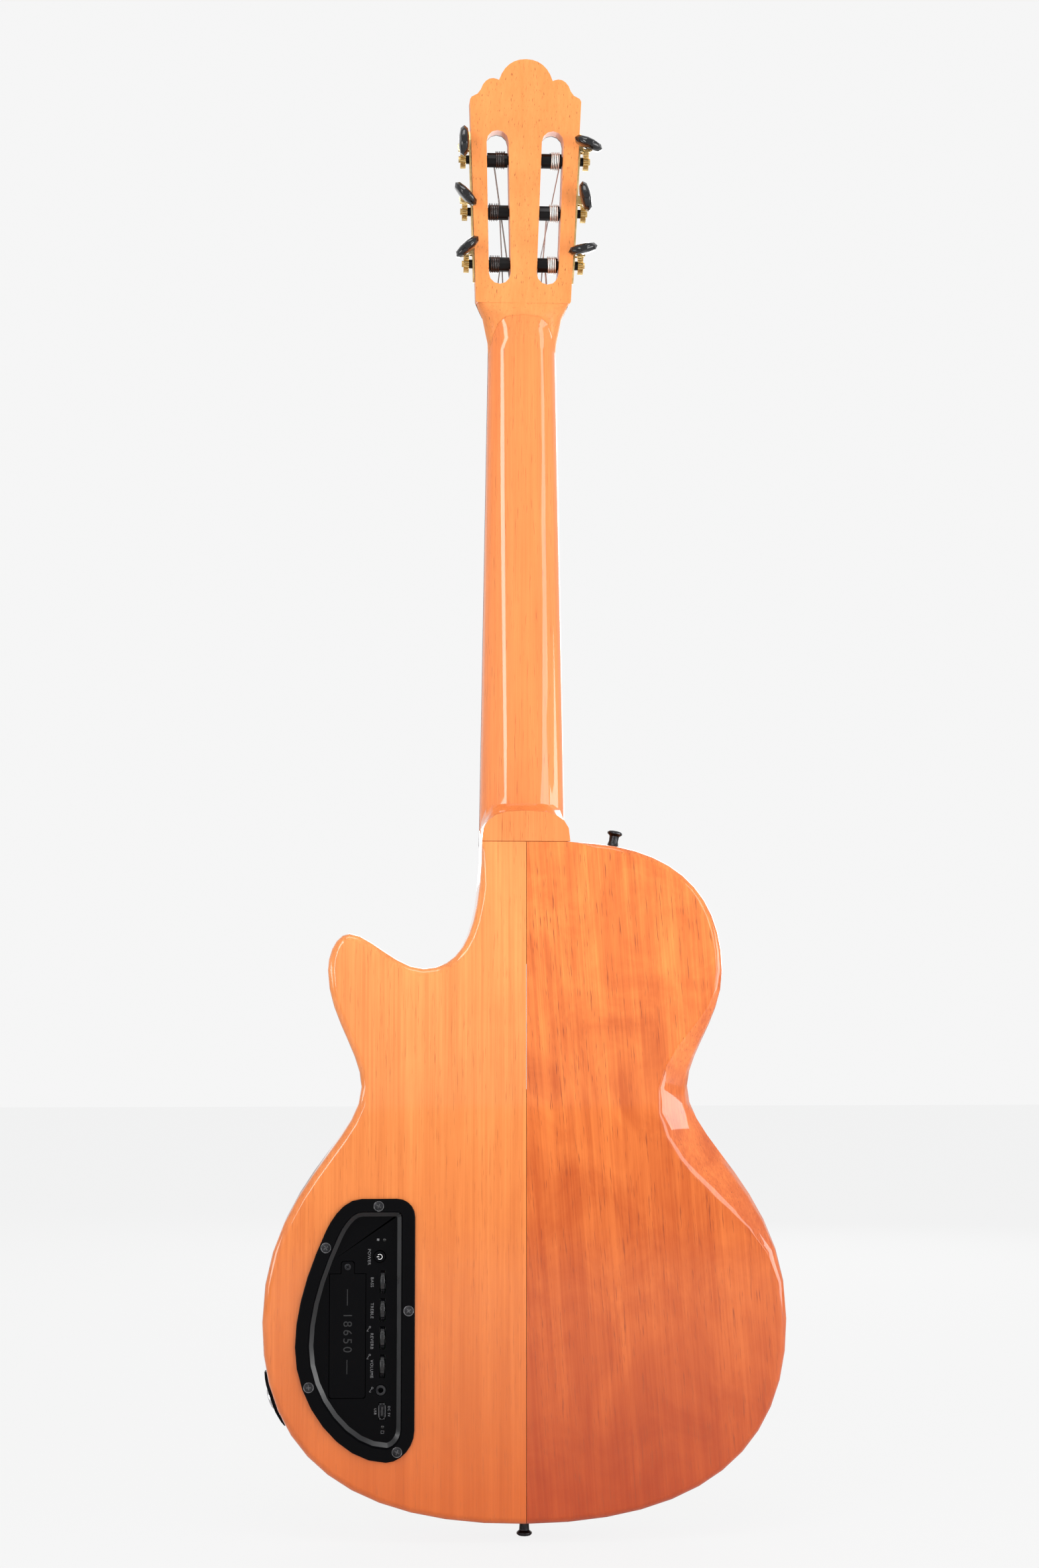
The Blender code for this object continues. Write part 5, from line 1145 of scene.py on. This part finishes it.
        # The raised mark and its bars wear a lighter copy of the tub's plastic: painted highlight.
        mark = Word("18650", -0.1150, 0.1215, 0.0056, 1.35)
        self.lettering(mark, self.floor_y, RELIEF_HIGHLIGHT, "cell_size_mark", "battery_door", self.relief_height)
        bars = [self.stroke([(mark.x, low), (mark.x, high)], self.bar_width, self.floor_y)
                for low, high in self.bar_ends]
        piece = merge("cell_size_bars", bars)
        wear(piece, RELIEF_HIGHLIGHT)
        mount(piece, "battery_door")


@dataclass
class Hardware:
    """Strap pins, the output jack and its plate."""

    def build(self) -> None:
        """Dresses each piece of hardware."""
        for row in (
            ("strap_pin_upper", "shoulder_pin", "black_metal", BLACK_METAL, 0.0002),
            ("strap_pin_tail", "tail_pin", "black_metal", BLACK_METAL, 0.0002),
            ("jack_plate", "jack_cover", "black_satin", PANEL, 0.0003),
            ("output_jack", "jack_socket", "brass", STEEL, 0.0002),
        ):
            dress(*row)


@dataclass
class Studio:
    """The camera, floor, soft lights and pale surround.

    Each light has a name, a place, the height that it faces on the middle line, its width and height, and its
    power in watts. The room has a colour and a strength as light, and the same as it is seen.
    """

    camera_place: Triple = (-0.0905, -1.5158, 0.3339)
    aim: Triple = (-0.0045, -0.025, 0.4751)
    lens: float = 52.4
    sensor: float = 36.0
    floor_z: float = -0.0118
    floor_glow: float = 0.93
    boxes: tuple[tuple[str, Triple, float, Pair, float], ...] = (
        ("left_box", (-0.80, -1.40, 0.85), 0.45, (0.26, 1.3), 11),
        ("left_edge", (-1.50, -0.50, 0.35), 0.45, (0.30, 0.8), 6),
        ("right_box", (1.00, -1.30, 0.75), 0.45, (0.30, 1.4), 7),
        ("side_box", (1.50, -0.80, 0.30), 0.45, (0.60, 1.5), 22),
        ("top_box", (0.0, -0.9, 2.1), 0.6, (1.2, 0.7), 14),
        ("front_fill", (0.4, 1.8, 1.0), 0.45, (1.2, 1.2), 16),
    )
    room: tuple[tuple[Colour, float], ...] = (((0.95, 0.97, 1.0), 0.42), ((0.92, 0.92, 0.92), 1.0))

    def camera(self) -> None:
        """Stands the camera where the photograph was taken."""
        deselect()
        bpy.ops.object.camera_add(location=self.camera_place)
        camera = added("studio_camera")
        view = Vector(self.aim) - Vector(self.camera_place)
        camera.rotation_euler = view.to_track_quat("-Z", "Y").to_euler()
        camera.data.sensor_fit = "VERTICAL"
        camera.data.sensor_height = self.sensor
        camera.data.sensor_width = self.sensor * PHOTO_WIDTH / PHOTO_HEIGHT
        camera.data.lens = self.lens
        camera.data.clip_start = 0.01
        bpy.context.scene.camera = camera

    def lights(self) -> None:
        """Places narrow boxes left and right for the rims' highlights, a top light and a fill in front."""
        for name, place, height, size, power in self.boxes:
            deselect()
            bpy.ops.object.light_add(type="AREA", location=place)
            lamp = added(name)
            lamp.data.shape = "RECTANGLE"
            lamp.data.size, lamp.data.size_y = size
            lamp.data.energy = power
            lamp.rotation_euler = (Vector((0, 0, height)) - Vector(place)).to_track_quat("-Z", "Z").to_euler()

    def floor(self) -> None:
        """Lays a plain pale floor under the tail."""
        deselect()
        bpy.ops.mesh.primitive_plane_add(size=12, location=(0, 0, self.floor_z))
        floor = added("studio_floor")
        r = Recipe("pale_floor")
        cloud = r.noise(r.mapped((3, 3, 3)), 2.0)
        r.done(base_color=r.blend(cloud, (0.78, 0.78, 0.77), (0.82, 0.82, 0.81)), roughness=0.8)
        rays = r.node("ShaderNodeLightPath")
        lit = r.node("ShaderNodeEmission", None, {"Color": (0.92, 0.92, 0.92)})
        share = Value(r, rays.outputs["Is Camera Ray"]) * self.floor_glow
        mixed = r.node("ShaderNodeMixShader", None, {0: share, 1: r.shader.outputs[0], 2: lit.outputs[0]})
        r.feed(r.tree.nodes["Material Output"].inputs["Surface"], mixed.outputs[0])
        floor.data.materials.append(r.material)

    def world(self) -> None:
        """Fills the surround with soft grey light that shows white behind the guitar."""
        world = bpy.data.worlds.new("pale_room")
        bpy.context.scene.world = world
        world.use_nodes = True
        tree = world.node_tree
        tree.nodes.clear()
        rays = tree.nodes.new("ShaderNodeLightPath")
        share = rays.outputs["Is Camera Ray"]
        for kind in ("Is Transmission Ray", "Is Glossy Ray"):
            larger = tree.nodes.new("ShaderNodeMath")
            larger.operation = "MAXIMUM"
            tree.links.new(share, larger.inputs[0])
            tree.links.new(rays.outputs[kind], larger.inputs[1])
            share = larger.outputs[0]
        mix = tree.nodes.new("ShaderNodeMixShader")
        tree.links.new(share, mix.inputs[0])
        for entry, (colour, strength) in zip(mix.inputs[1:], self.room):
            shade = tree.nodes.new("ShaderNodeBackground")
            shade.inputs["Color"].default_value = (*colour, 1)
            shade.inputs["Strength"].default_value = strength
            tree.links.new(shade.outputs[0], entry)
        end = tree.nodes.new("ShaderNodeOutputWorld")
        tree.links.new(mix.outputs[0], end.inputs[0])

    def build(self) -> None:
        """Sets up the studio."""
        bpy.context.scene.view_settings.view_transform = "Standard"
        self.camera()
        self.lights()
        self.floor()
        self.world()


def main() -> None:
    """Builds the guitar and its studio."""
    logging.basicConfig(level=logging.INFO, format="%(name)s: %(message)s")
    for assembly in (Studio, BodyShell, NeckAndHead, Tuners, StringsAndBridge, ControlPanel, Hardware):
        LOG.info("building %s", assembly.__name__)
        assembly().build()
    deselect()


if __name__ == "__main__":
    main()
